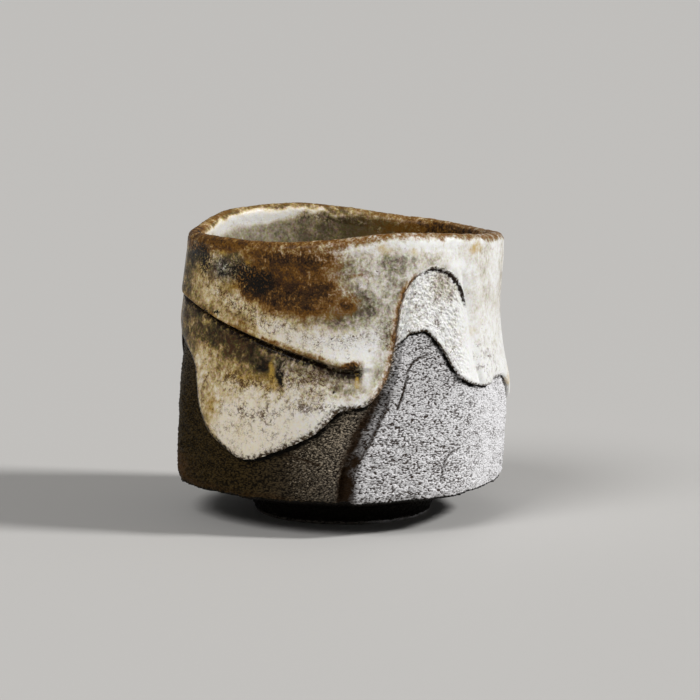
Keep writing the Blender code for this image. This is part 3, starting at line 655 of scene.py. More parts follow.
def skin(name, angle, radius, height, marks, wrap=True):
    """A closed piece skinned over a grid of points: rows run along its section, columns go round the cup."""
    rows, count = angle.shape
    spans = count if wrap else count - 1
    bpy.ops.object.select_all(action="DESELECT")
    bpy.ops.mesh.primitive_grid_add(x_subdivisions=spans, y_subdivisions=rows - 1, size=1, calc_uvs=False)
    piece = bpy.context.object
    mesh = piece.data
    piece.name = mesh.name = name
    flat = np.empty(len(mesh.vertices) * 3, np.float32)
    mesh.vertices.foreach_get("co", flat)
    flat = flat.reshape(-1, 3)
    column = np.rint((flat[:, 0] + 0.5) * spans).astype(int) % count
    row = np.rint((flat[:, 1] + 0.5) * (rows - 1)).astype(int)
    turned = np.radians(angle)
    points = np.stack([radius * np.sin(turned), -radius * np.cos(turned), height], axis=-1) * MM
    points += np.array([AXIS.x, AXIS.y, 0])
    mesh.vertices.foreach_set("co", points[row, column].astype(np.float32).ravel())
    for mark, values in marks.items():
        attribute = mesh.attributes.new(mark, "FLOAT", "POINT")
        attribute.data.foreach_set("value", values[row, column].astype(np.float32))
    bpy.ops.object.mode_set(mode="EDIT")
    bpy.ops.mesh.select_all(action="SELECT")
    bpy.ops.mesh.remove_doubles(threshold=MERGE_DISTANCE)
    bpy.ops.mesh.normals_make_consistent(inside=False)
    bpy.ops.object.mode_set(mode="OBJECT")
    bpy.ops.object.shade_smooth()
    return piece


def mark_values(piece, mark):
    """A mark's value at each point of the piece."""
    values = np.empty(len(piece.data.vertices), np.float32)
    piece.data.attributes[mark].data.foreach_get("value", values)
    return values


def point_values(piece, what):
    """The places ("co") or normals ("normal") of the piece's points."""
    values = np.empty(len(piece.data.vertices) * 3, np.float32)
    piece.data.vertices.foreach_get(what, values)
    return values.reshape(-1, 3)


def roughen(piece, strength_mark, coats):
    """Displaces the piece along its normals by noise coats, and marks the relief that they give.

    A coat is the width of its lumps and its depth in millimetres, and the noise level that stays in place.
    """
    weights = np.rint(mark_values(piece, strength_mark) * STRENGTH_STEPS).astype(int)
    group = piece.vertex_groups.new(name=f"{strength_mark} strength")
    group_name = group.name
    for step in range(1, STRENGTH_STEPS + 1):
        group.add(np.flatnonzero(weights == step).tolist(), step / STRENGTH_STEPS, "REPLACE")
    before, normals = point_values(piece, "co"), point_values(piece, "normal")
    bpy.context.view_layer.objects.active = piece
    for lump, depth, level in coats:
        texture = bpy.data.textures.new(f"{piece.name} clouds", "CLOUDS")
        texture.noise_scale = lump * MM
        coat = piece.modifiers.new(texture.name, "DISPLACE")
        coat.texture = texture
        coat.texture_coords = "LOCAL"
        coat.strength = depth * MM
        coat.mid_level = level
        coat.vertex_group = group_name
        bpy.ops.object.modifier_apply(modifier=coat.name)
    relief = ((point_values(piece, "co") - before) * normals).sum(axis=1) / MM
    attribute = piece.data.attributes.new("relief", "FLOAT", "POINT")
    attribute.data.foreach_set("value", relief.astype(np.float32))


def settle(piece, node, finish):
    """Gives a finished piece its material, and puts it in the place of its solid."""
    piece.data.materials.clear()
    piece.data.materials.append(finish)
    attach(piece, "root")
    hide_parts(node)


# Noise levels between which most of a noise lies, and the sockets of a Mix node that mixes colours
NOISE_LOW, NOISE_HIGH = 0.3, 0.7
MIX_SHARE, MIX_UNDER, MIX_OVER, MIX_COLOUR = 0, 6, 7, 2

# Specks show where a grain, the mark and the slow drift together pass a level
SPECK_MARK_PULL, SPECK_DRIFT_PULL = 0.25, 0.4
SPECK_START, SPECK_FULL, SPECK_COVER = 0.95, 1.06, 0.8
SPOT_SPACINGS = (1.3, 0.7)
SPOT_LEVEL, SPOT_FALL, SPOT_CHANCE = 1.02, -1.9, -0.6

# Noises of the glaze: how their place is read, a seed, the lump in millimetres and the detail
GLAZE_NOISES = {
    "pepper": ("straight", 0, 0.36, 1),
    "fine": ("bent", 0, 0.6, 2),
    "middle": ("bent", 0, 1.4, 4),
    "broad": ("bent", 0, 4.0, 3),
    "streaks": ("drawn down", 0, 0.5, 3),
    "veins": ("bent", 9, 1.1, 3),
    "threads": ("bent", 5, 0.6, 2),
}
GLAZE_NOISE_ROUGHNESS = 0.6
SWAY_LUMP, SWAY_DETAIL, SWAY_REACH = 2.2, 3, 1.6
STREAK_SQUASH = 0.35
TINT_LUMP, TINT_DETAIL, TINT_STRENGTH = 0.5, 3, 0.5
NOISE_MIDDLE, CRAZE_FALL, CRAZE_LEVEL = 0.5, -2.5, 0.7  # crazing runs where a noise passes its middle
THIN_NOISES = {"pepper": 0.6, "fine": 1.0, "middle": 1.8, "broad": 1.6, "streaks": 0.8}
THIN_CALM, THIN_ROUGH = 0.24, 0.5
IRON_NOISES = {"pepper": 1.2, "fine": 1.1, "middle": 1.8, "streaks": 0.8}
IRON_CALM, IRON_ROUGH = 0.12, 0.62
IRON_START, IRON_FULL = 0.1, 0.68
COOL_GRAIN, COOL_CALM = 2.0, 1.0
THIN_STEPS = (0.05, 0.28, 0.46, 0.66, 0.95)
IRON_STEPS = (0.15, 0.36, 0.55, 0.75, 1.0)
GLOSS_BELOW, GLOSS_ABOVE = 0.08, 0.14  # how far the roughness varies to each side
GLAZE_SPECULAR = 0.14
PEEL_SINK, PEEL_STRENGTH, PEEL_DEPTH = -0.7, 0.4, 0.35

# Grain of the clay, in millimetres, turned and stretched along the direction in which the wall was wiped
CLAY_TURN, CLAY_STRETCH = -28, (0.7, 0.7, 1.4)
CLAY_BROAD_LUMP, CLAY_GRIT_LUMP, CLAY_DETAIL, CLAY_NOISE_ROUGHNESS = 2.5, 0.3, 3, 0.65
CRUMB_SHIFT, CRUMB_SPACING, CRUMB_FALL = 0.3, 0.38, -0.8
# The clay's tone follows the relief and the crumbs' height, so that hollows and pits are darker: painted shade
# in the low places, over the clay's own grain
TONE_LEVEL, TONE_OF_RELIEF, TONE_OF_BROAD, TONE_OF_CRUMBS = 0.36, 0.8, 0.6, 1.3
LEFT_CLAY_STEPS = (0.36, 0.6, 0.8)
RIGHT_CLAY_STEPS = (0.34, 0.5, 0.67)
LEFT_CLAY_ROUGHNESS, RIGHT_CLAY_ROUGHNESS, CLAY_SPECULAR = 0.5, 0.8, 0.06
CLAY_BUMP_STRENGTH, CLAY_BUMP_DEPTH = 1.0, 0.28


def add_node(tree, kind, inputs=None, stops=None, **settings):
    """Adds a node, sets it, and links or fills its inputs, which are named by socket name or number.

    A node given as an input is linked by its first output. The stops of a colour ramp are pairs of place and
    colour.
    """
    node = tree.nodes.new(kind)
    for name, value in settings.items():
        setattr(node, name, value)
    for name, value in (inputs or {}).items():
        if isinstance(value, bpy.types.Node):
            value = value.outputs[0]
        if isinstance(value, bpy.types.NodeSocket):
            tree.links.new(value, node.inputs[name])
        else:
            node.inputs[name].default_value = value
    if stops:
        elements = node.color_ramp.elements
        while len(elements) < len(stops):
            elements.new(1)
        for element, (place, colour) in zip(elements, stops):
            element.position = place
            element.color = rgba(colour)
    return node


def per_metre(lump):
    """A noise scale whose lumps are about this many millimetres across."""
    return 1 / (lump * MM)


def rgba(colour):
    """The colour with full cover."""
    return (*colour, 1)


def stain_layer(tree, under, mark, colour, grain, spread, start, end):
    """Lays a colour over another by a mark, broken up by a grain noise: spread says how strongly."""
    amount = add_node(tree, "ShaderNodeAttribute", attribute_name=mark).outputs["Fac"]
    swing = {"From Min": NOISE_LOW, "From Max": NOISE_HIGH, "To Min": 1 - spread, "To Max": 1 + spread}
    broken = add_node(tree, "ShaderNodeMapRange", {"Value": grain, **swing}, clamp=False)
    total = add_node(tree, "ShaderNodeMath", {0: amount, 1: broken}, operation="MULTIPLY")
    limits = {"From Min": start, "From Max": end}
    cover = add_node(tree, "ShaderNodeMapRange", {"Value": total, **limits}, interpolation_type="SMOOTHSTEP")
    layers = {MIX_SHARE: cover, MIX_UNDER: under, MIX_OVER: colour}
    return add_node(tree, "ShaderNodeMix", layers, data_type="RGBA").outputs[MIX_COLOUR]


def speck_layer(tree, grain, drift, under, mark, colour):
    """Scatters the peaks of a grain noise over a colour as specks, closer where mark and drift are strong."""
    amount = add_node(tree, "ShaderNodeAttribute", attribute_name=mark).outputs["Fac"]
    level = grain
    for part, pull in ((amount, SPECK_MARK_PULL), (drift, SPECK_DRIFT_PULL)):
        level = add_node(tree, "ShaderNodeMath", {0: part, 1: pull, 2: level}, operation="MULTIPLY_ADD")
    limits = {"From Min": SPECK_START, "From Max": SPECK_FULL, "To Max": SPECK_COVER}
    cover = add_node(tree, "ShaderNodeMapRange", {"Value": level, **limits})
    layers = {MIX_SHARE: cover, MIX_UNDER: under, MIX_OVER: colour}
    return add_node(tree, "ShaderNodeMix", layers, data_type="RGBA").outputs[MIX_COLOUR]


def broken_mark(tree, mark, noises, calm, rough):
    """A mark made granular by weighted noises: by calm where it is 0, by calm + rough where it is 1."""
    amount = add_node(tree, "ShaderNodeAttribute", attribute_name=mark).outputs["Fac"]
    sway = -NOISE_MIDDLE * sum(weight for _, weight in noises)
    for grain, weight in noises:
        sway = add_node(tree, "ShaderNodeMath", {0: grain, 1: weight, 2: sway}, operation="MULTIPLY_ADD")
    reach = add_node(tree, "ShaderNodeMath", {0: amount, 1: rough, 2: calm}, operation="MULTIPLY_ADD")
    return add_node(tree, "ShaderNodeMath", {0: sway, 1: reach, 2: amount}, operation="MULTIPLY_ADD")


def glaze_finish(name, colours, roughness, breakup=1.0):
    """Feldspar glaze melted over iron clay: white where thick, tan to olive where thin, stained with iron.

    The breakup says how granular its stains are.
    """
    finish = bpy.data.materials.new(name)
    finish.use_nodes = True
    tree = finish.node_tree
    shader = tree.nodes["Principled BSDF"]
    where = add_node(tree, "ShaderNodeTexCoord").outputs["Object"]
    sway = add_node(
        tree, "ShaderNodeTexNoise", {"Vector": where, "Scale": per_metre(SWAY_LUMP), "Detail": SWAY_DETAIL}
    )
    shift = {0: sway.outputs["Color"], 1: (SWAY_REACH * MM,) * 3, 2: where}
    bent = add_node(tree, "ShaderNodeVectorMath", shift, operation="MULTIPLY_ADD")
    drawn_down = add_node(tree, "ShaderNodeMapping", {"Vector": bent, "Scale": (1, 1, STREAK_SQUASH)})
    places = {"straight": where, "bent": bent, "drawn down": drawn_down}
    grains = {}
    for grain, (place, seed, lump, detail) in GLAZE_NOISES.items():
        look = {"W": seed, "Scale": per_metre(lump), "Detail": detail, "Roughness": GLAZE_NOISE_ROUGHNESS}
        grains[grain] = add_node(
            tree, "ShaderNodeTexNoise", {"Vector": places[place], **look}, noise_dimensions="4D"
        )
    fine, middle = grains["fine"], grains["middle"]
    tint = add_node(
        tree, "ShaderNodeTexNoise", {"Vector": where, "Scale": per_metre(TINT_LUMP), "Detail": TINT_DETAIL}
    )
    lines = []
    for level in (grains["veins"], grains["threads"]):
        aside = add_node(tree, "ShaderNodeMath", {0: level, 1: NOISE_MIDDLE}, operation="SUBTRACT")
        aside = add_node(tree, "ShaderNodeMath", {0: aside}, operation="ABSOLUTE")
        craze = {0: aside, 1: CRAZE_FALL, 2: CRAZE_LEVEL}
        lines.append(add_node(tree, "ShaderNodeMath", craze, operation="MULTIPLY_ADD"))
    crazing, network = lines

    thin_noises = [(grains[grain], weight) for grain, weight in THIN_NOISES.items()]
    thin = broken_mark(tree, "thin", thin_noises, THIN_CALM * breakup, THIN_ROUGH * breakup)
    cool = broken_mark(tree, "cool", [(tint, COOL_GRAIN)], COOL_CALM, 0)
    warm_colours = (colours.cream, colours.tan_pale, colours.tan, colours.ash, colours.ash_dark)
    cool_colours = (colours.cool_white, colours.grey_pale, colours.grey, colours.grey_dark, colours.ash_dark)
    warm_ramp, cool_ramp = (
        add_node(tree, "ShaderNodeValToRGB", {0: thin}, list(zip(THIN_STEPS, ramp_colours))).outputs["Color"]
        for ramp_colours in (warm_colours, cool_colours)
    )
    layers = {MIX_SHARE: cool, MIX_UNDER: warm_ramp, MIX_OVER: cool_ramp}
    colour = add_node(tree, "ShaderNodeMix", layers, data_type="RGBA").outputs[MIX_COLOUR]
    layers = {MIX_SHARE: TINT_STRENGTH, MIX_UNDER: colour, MIX_OVER: tint.outputs["Color"]}
    tinted = add_node(tree, "ShaderNodeMix", layers, data_type="RGBA", blend_type="SOFT_LIGHT")
    colour = tinted.outputs[MIX_COLOUR]
    colour = stain_layer(tree, colour, "ochre", rgba(colours.ochre), middle, spread=0.7, start=0.05, end=1.0)

    iron_noises = [(grains[grain], weight) for grain, weight in IRON_NOISES.items()]
    iron = broken_mark(tree, "iron", iron_noises, IRON_CALM * breakup, IRON_ROUGH * breakup)
    iron_colours = (colours.tan, colours.rust_pale, colours.rust, colours.brown, colours.iron)
    rusty = add_node(tree, "ShaderNodeValToRGB", {0: iron}, list(zip(IRON_STEPS, iron_colours)))
    limits = {"From Min": IRON_START, "From Max": IRON_FULL}
    cover = add_node(tree, "ShaderNodeMapRange", {"Value": iron, **limits}, interpolation_type="SMOOTHSTEP")
    layers = {MIX_SHARE: cover, MIX_UNDER: colour, MIX_OVER: rusty}
    colour = add_node(tree, "ShaderNodeMix", layers, data_type="RGBA").outputs[MIX_COLOUR]

    speckles = [fine, crazing, network]
    for spacing in SPOT_SPACINGS:
        spots = add_node(tree, "ShaderNodeTexVoronoi", {"Vector": bent, "Scale": per_metre(spacing)})
        dots = SPOT_LEVEL
        for part, share in ((spots.outputs["Distance"], SPOT_FALL), (spots.outputs["Color"], SPOT_CHANCE)):
            dots = add_node(tree, "ShaderNodeMath", {0: part, 1: share, 2: dots}, operation="MULTIPLY_ADD")
        speckles.append(dots)
    for grain in speckles:
        colour = speck_layer(tree, grain, middle, colour, "specks", rgba(colours.speck))
    # The soot mark paints black streaks and the notch's painted shade, the edge mark thinned glaze and painted
    # shade under the rolled edges, and the line mark painted shadow lines under the fold, the overhangs and
    # inside the lip, in the darkest iron
    for mark, dark, grain, spread, start, end in (
        ("soot_and_shade", colours.soot_and_shade, network, 1.4, 0.1, 1.1),
        ("edge", colours.edge, fine, 0.9, 0.3, 1.1),
        ("line", colours.iron, fine, 0.8, 0.2, 0.9),
    ):
        colour = stain_layer(tree, colour, mark, rgba(dark), grain, spread, start, end)
    tree.links.new(colour, shader.inputs["Base Color"])

    limits = {"From Min": NOISE_LOW, "From Max": NOISE_HIGH}
    gloss_range = {"To Min": roughness - GLOSS_BELOW, "To Max": roughness + GLOSS_ABOVE}
    gloss = add_node(tree, "ShaderNodeMapRange", {"Value": fine, **limits, **gloss_range})
    tree.links.new(gloss.outputs["Result"], shader.inputs["Roughness"])
    shader.inputs["Specular IOR Level"].default_value = GLAZE_SPECULAR
    peel = add_node(tree, "ShaderNodeMath", {0: thin, 1: PEEL_SINK, 2: middle}, operation="MULTIPLY_ADD")
    bump = add_node(
        tree, "ShaderNodeBump", {"Height": peel, "Strength": PEEL_STRENGTH, "Distance": PEEL_DEPTH * MM}
    )
    tree.links.new(bump.outputs["Normal"], shader.inputs["Normal"])
    return finish


def clay_finish(name, colours):
    """Bare grogged stoneware: crumbs over pits, pale and dry on the right, dark with glints on the left."""
    finish = bpy.data.materials.new(name)
    finish.use_nodes = True
    tree = finish.node_tree
    shader = tree.nodes["Principled BSDF"]
    place = add_node(tree, "ShaderNodeTexCoord").outputs["Object"]
    wiped = {"Rotation": (0, math.radians(CLAY_TURN), 0), "Scale": CLAY_STRETCH}
    where = add_node(tree, "ShaderNodeMapping", {"Vector": place, **wiped})
    relief, pale = (
        add_node(tree, "ShaderNodeAttribute", attribute_name=mark).outputs["Fac"]
        for mark in ("relief", "pale")
    )
    look = {"Detail": CLAY_DETAIL, "Roughness": CLAY_NOISE_ROUGHNESS}
    broad, grit = (
        add_node(tree, "ShaderNodeTexNoise", {"Vector": where, "Scale": per_metre(lump), **look})
        for lump in (CLAY_BROAD_LUMP, CLAY_GRIT_LUMP)
    )
    shift = {0: grit.outputs["Color"], 1: (CRUMB_SHIFT * MM,) * 3, 2: where}
    bent = add_node(tree, "ShaderNodeVectorMath", shift, operation="MULTIPLY_ADD")
    crumbs = add_node(tree, "ShaderNodeTexVoronoi", {"Vector": bent, "Scale": per_metre(CRUMB_SPACING)})
    height = add_node(tree, "ShaderNodeMath", {0: crumbs, 1: CRUMB_FALL, 2: grit}, operation="MULTIPLY_ADD")
    # tone falls in the relief's hollows and between the crumbs: painted shade in the pits
    tone = TONE_LEVEL
    for part, share in ((relief, TONE_OF_RELIEF), (broad, TONE_OF_BROAD), (height, TONE_OF_CRUMBS)):
        tone = add_node(tree, "ShaderNodeMath", {0: part, 1: share, 2: tone}, operation="MULTIPLY_ADD")
    left_colours = (colours.pit, colours.clay, colours.clay_light)
    right_colours = (colours.pit_pale, colours.clay_grey, colours.clay_pale)
    left, right = (
        add_node(tree, "ShaderNodeValToRGB", {0: tone}, list(zip(steps, ramp_colours))).outputs["Color"]
        for steps, ramp_colours in ((LEFT_CLAY_STEPS, left_colours), (RIGHT_CLAY_STEPS, right_colours))
    )
    layers = {MIX_SHARE: pale, MIX_UNDER: left, MIX_OVER: right}
    colour = add_node(tree, "ShaderNodeMix", layers, data_type="RGBA").outputs[MIX_COLOUR]
    for mark, tint, grain, spread, start, end in (
        # painted highlights on the crumbs
        ("glints", colours.glint, grit, 2.0, 0.8, 2.0),
        ("bleach", colours.clay_pale, broad, 0.5, 0.0, 1.2),
        ("scorch", colours.scorch, broad, 0.6, 0.1, 1.2),
        # brown clay in the crease, with painted shade in its depth
        ("groove", colours.groove, broad, 0.4, 0.05, 1.05),
        # painted shadow under the coats' edges, with some dark iron flashing
        ("edge", colours.soot_and_shade, broad, 0.8, 0.2, 0.9),
        # painted shade on the underside and the foot
        ("under", colours.soot_and_shade, broad, 0.3, 0.2, 0.9),
    ):
        colour = stain_layer(tree, colour, mark, rgba(tint), grain, spread, start, end)
    tree.links.new(colour, shader.inputs["Base Color"])
    dry_range = {"To Min": LEFT_CLAY_ROUGHNESS, "To Max": RIGHT_CLAY_ROUGHNESS}
    dryness = add_node(tree, "ShaderNodeMapRange", {"Value": pale, **dry_range})
    tree.links.new(dryness.outputs["Result"], shader.inputs["Roughness"])
    shader.inputs["Specular IOR Level"].default_value = CLAY_SPECULAR
    grain_bump = {"Height": height, "Strength": CLAY_BUMP_STRENGTH, "Distance": CLAY_BUMP_DEPTH * MM}
    bump = add_node(tree, "ShaderNodeBump", grain_bump)
    tree.links.new(bump.outputs["Normal"], shader.inputs["Normal"])
    return finish


class CupSizes(bpy.types.PropertyGroup):
    """Sizes of the cup's fine surface."""

    grain: FloatProperty(
        name="Clay grain", description="Width of the clay's coarse grains", default=0.43 * MM, unit="LENGTH"
    )
    grain_depth: FloatProperty(
        name="Grain depth", description="Relief of the clay's coarse grains", default=0.8 * MM, unit="LENGTH"
    )
    patch_depth: FloatProperty(
        name="Patch pits", description="Relief of the thin dry glaze", default=0.65 * MM, unit="LENGTH"
    )
    lip_depth: FloatProperty(
        name="Lip grain", description="Relief of the iron coat on the lip", default=0.25 * MM, unit="LENGTH"
    )


def colour_property(name, description, hex_colour):
    """A colour that a user can change, given as an sRGB hex value."""
    return FloatVectorProperty(
        name=name, description=description, default=linear(hex_colour), subtype="COLOR", min=0, max=1
    )


class CupColours(bpy.types.PropertyGroup):
    """Colours of the cup's clay, glaze and iron."""

    cream: colour_property("Cream", "Thick glaze on the left", "#F1E5CE")
    tan_pale: colour_property("Pale tan", "Glaze a little thinner", "#D2BA86")
    tan: colour_property("Tan", "Glaze thinned over iron clay", "#A0834C")
    ash: colour_property("Ash", "Olive ash in thin glaze", "#5A4B2A")
    ash_dark: colour_property("Dark ash", "Thinnest glaze over dark clay", "#1F1A11")
    cool_white: colour_property("Cool white", "Thick glaze on the right", "#EAEBEA")
    grey_pale: colour_property("Pale grey", "Right glaze a little thinner", "#CFCBC2")
    grey: colour_property("Grey", "Right glaze thinned", "#A09B8B")
    grey_dark: colour_property("Dark grey", "Right glaze at its thinnest", "#625B4E")
    ochre: colour_property("Ochre", "Yellow breaks in the glaze", "#BD9A45")
    speck: colour_property("Specks", "Iron specks in the glaze", "#482D1B")
    rust_pale: colour_property("Pale rust", "Edge of the iron stain", "#8A5E22")
    rust: colour_property("Rust", "Rusty iron", "#774E17")
    brown: colour_property("Brown", "Iron-stained glaze", "#4C341A")
    # The darkest iron is also the colour of the painted shadow lines
    iron: colour_property("Iron", "Darkest iron", "#1A0F07")
    # Edge: glaze thinned at its rolled edges, and also painted shade on their undersides
    edge: colour_property("Edge", "Glaze thinned at its rolled edge", "#4A3C2C")
    # Soot: black streaks in the glaze, and on the clay the painted shade of the underside and under the coats'
    # edges
    soot_and_shade: colour_property("Soot", "Blackened glaze and clay", "#15120E")
    clay: colour_property("Clay", "Bare clay on the left", "#2F240E")
    clay_light: colour_property("Light clay", "Grog crumbs on the left", "#47391F")
    # Glints: painted highlights on the crumbs on the left
    glint: colour_property("Glints", "Quartz glints on the left", "#B0A28D")
    # Pits: painted shade between the crumbs on the left
    pit: colour_property("Pits", "Pits between the crumbs on the left", "#130D05")
    clay_grey: colour_property("Grey clay", "Bare clay on the right", "#C6C4C5")
    clay_pale: colour_property("Pale clay", "Grog crumbs on the right", "#FCFBFD")
    # Pale pits: painted shade between the crumbs on the right
    pit_pale: colour_property("Pale pits", "Pits between the crumbs on the right", "#4A403A")
    # Groove: brown clay in the crease, and also painted shade in its depth
    groove: colour_property("Groove", "Brown clay in the crease", "#2B1D0F")
    scorch: colour_property("Scorch", "Fire-flashed clay", "#543A1E")


class StageSettings(bpy.types.PropertyGroup):
    """Floor, light and camera."""

    floor: colour_property("Floor", "Plain pale floor", "#C2C0BD")
    key: FloatProperty(name="Key", description="Strength of the soft light on the right", default=2.9)
    fill: FloatProperty(name="Fill", description="Strength of the soft light on the left", default=1.4)
    sky: FloatProperty(name="Sky", description="Strength of the light from all round", default=0.16)
    distance: FloatProperty(
        name="Distance", description="From the camera to the cup", default=0.65, unit="LENGTH"
    )
    camera_height: FloatProperty(
        name="Camera height", description="Above the floor", default=0.125, unit="LENGTH"
    )
    aim_right: FloatProperty(
        name="Aim right", description="Aim, right of the axis", default=1.4 * MM, unit="LENGTH"
    )
    aim_height: FloatProperty(
        name="Aim height", description="Aim above the floor", default=30.2 * MM, unit="LENGTH"
    )
    lens: FloatProperty(name="Lens", description="Focal length in millimetres", default=180.0)


# Mesh and edge of the clay body
CLAY_COLUMNS, CLAY_CROWDING = 560, 28.0
CLAY_WALL_RISES = np.concatenate([np.arange(0.5, 32.6, 0.235), np.linspace(33.5, 46, 7)])
DISH_RADII, DISH_RIM_RUN = (0, 4, 8), 4
UNDERSIDE_ROWS = 8
WALL_EDGE_RISE, WALL_EDGE_INSET = 0.5, 0.25
WALL_EDGE_WAVES, WALL_EDGE_SEED, WALL_EDGE_FADE = ((0.25, 4.0),), 300, 2
LIP_TILTS = np.radians((0, 45, 90, 135, 180))
BORE_SHARES = (0.25, 0.5, 0.75)
FILLET_TILTS = np.radians((0, 30, 60, 90))
CLAY_GRAIN_LEVEL = 0.78  # noise level that stays in place, so that most of the grain is pits


class SAKECUP_OT_clay_body(bpy.types.Operator):
    """Model the hand-formed clay body with its grain, crease and cracks"""

    bl_idname = "sakecup.clay_body"
    bl_label = "Clay body"

    def execute(self, context):
        sizes, colours = context.scene.cup_sizes, context.scene.cup_colours
        upright = columns(CLAY_COLUMNS, CLAY_CROWDING)

        def leaning(height):
            return upright + lean(turn(upright - CREASE_FOOT_ANGLE), height)

        joint_outside = FOOT_RADIUS + FOOT_FLARE + SEAT_MARGIN
        joint_inside = FOOT_BORE - SEAT_MARGIN
        dish_radii = (*DISH_RADII, joint_inside - DISH_RIM_RUN * UNDERSIDE_DISH)
        rows = [(upright, radius, JOINT_HEIGHT + UNDERSIDE_DISH) for radius in dish_radii]
        rows += [(upright, radius, JOINT_HEIGHT) for radius in (joint_inside, joint_outside)]
        first_bare_row = len(rows)
        wall_edge = wall_radius(upright, WALL_EDGE_HEIGHT + WALL_EDGE_RISE) - WALL_EDGE_INSET
        edge_height = WALL_EDGE_HEIGHT + waves(around_wall(upright, WALL_EDGE_SEED), WALL_EDGE_WAVES)
        for share in np.linspace(0, 1, UNDERSIDE_ROWS + 1)[1:]:
            height = between(JOINT_HEIGHT, edge_height, share)
            rows.append((upright, between(joint_outside, wall_edge, share), height))
        first_wall_row = len(rows)
        for rise in CLAY_WALL_RISES:
            waver = (edge_height - WALL_EDGE_HEIGHT) * np.exp(-rise / WALL_EDGE_FADE)
            height = np.minimum(WALL_EDGE_HEIGHT + rise + waver, lip_centre(upright)[1])
            angle = leaning(height)
            rows.append((angle, wall_radius(angle, height), height))
        last_wall_row = len(rows)
        at_lip = leaning(lip_centre(upright)[1])
        lip_radius, lip_height = lip_centre(at_lip)
        for tilt in LIP_TILTS:
            height = lip_height + LIP_HALF_THICKNESS * np.sin(tilt)
            rows.append((at_lip, lip_radius + LIP_HALF_THICKNESS * np.cos(tilt), height))
        fillet_start = FLOOR_HEIGHT + FLOOR_FILLET
        for share in BORE_SHARES:
            height = between(lip_height, fillet_start, share)
            rows.append((at_lip, bore_radius(at_lip, height), height))
        bowl = bore_radius(at_lip, fillet_start) - FLOOR_FILLET
        for tilt in FILLET_TILTS:
            height = fillet_start - FLOOR_FILLET * np.sin(tilt)
            rows.append((at_lip, bowl + FLOOR_FILLET * np.cos(tilt), height))
        rows.append((at_lip, 0, FLOOR_HEIGHT))
        angle, radius, height = grid(rows)

        wall = slice(first_wall_row, last_wall_row)
        wall_angle, wall_height = angle[wall], height[wall]
        crack_lines = np.concatenate([drawn_line(line) for line in CRACKS], axis=1)
        crack = distance_to_line(*crack_lines)(wall_angle, wall_height)
        radius[wall] += waves(around_wall(wall_angle, wall_height), CLAY_WAVES) - CLAY_SINK
        radius[wall] -= CRACK_DEPTH * bell(crack, CRACK_REACH)
        marks = {mark: np.zeros(angle.shape) for mark in CLAY_MARKS}
        for mark, values in clay_marks(wall_angle, wall_height, crack).items():
            marks[mark][wall] = values
        marks["bare"][first_bare_row:last_wall_row] = 1
        # painted shade on the underside, under the wall's overhang
        marks["under"][:first_wall_row] = 1
        piece = skin("clay_body_fine", angle, radius, height, marks)
        roughen(piece, "bare", [(sizes.grain / MM, sizes.grain_depth / MM, CLAY_GRAIN_LEVEL)])
        settle(piece, "clay_body", clay_finish("bare grogged stoneware", colours))
        return {"FINISHED"}


# Section of the foot ring (radius, height), with its paint by height
FOOT_COLUMNS, FOOT_RUN_ROWS = 320, 3
FOOT_SECTION = [
    (FOOT_BORE, JOINT_HEIGHT), (FOOT_BORE, 1.8), (FOOT_BORE, FOOT_ROUND), (FOOT_BORE + 0.2, 0.2),
    (FOOT_BORE + FOOT_ROUND, 0), (FOOT_RADIUS - FOOT_ROUND, 0), (FOOT_RADIUS - 0.2, 0.2),
    (FOOT_RADIUS, FOOT_ROUND), (FOOT_RADIUS + 0.3, 1.2), (FOOT_RADIUS + 0.6, 2.2),
    (FOOT_RADIUS + FOOT_FLARE, JOINT_HEIGHT), (FOOT_BORE, JOINT_HEIGHT),
]
FOOT_PALE = 0.1
# The foot's lowest edge on the right is painted paler, laid in by the bleach mark: painted light where it
# catches the light
FOOT_LIT_EDGE, FOOT_LIT_EDGE_ANGLES, FOOT_LIT_EDGE_HEIGHTS = 0.6, (5, 30), (0.7, 0.4)
FOOT_SHADE_HEIGHTS = (0.2, 0.8)
FOOT_BARE_LOW, FOOT_BARE_HIGH = (0.05, 0.6), (JOINT_HEIGHT, JOINT_HEIGHT - 0.4)
FOOT_GRAIN_LEVEL = 0.68
FOOT_LUMPS = (2.0, 0.2, 0.6)


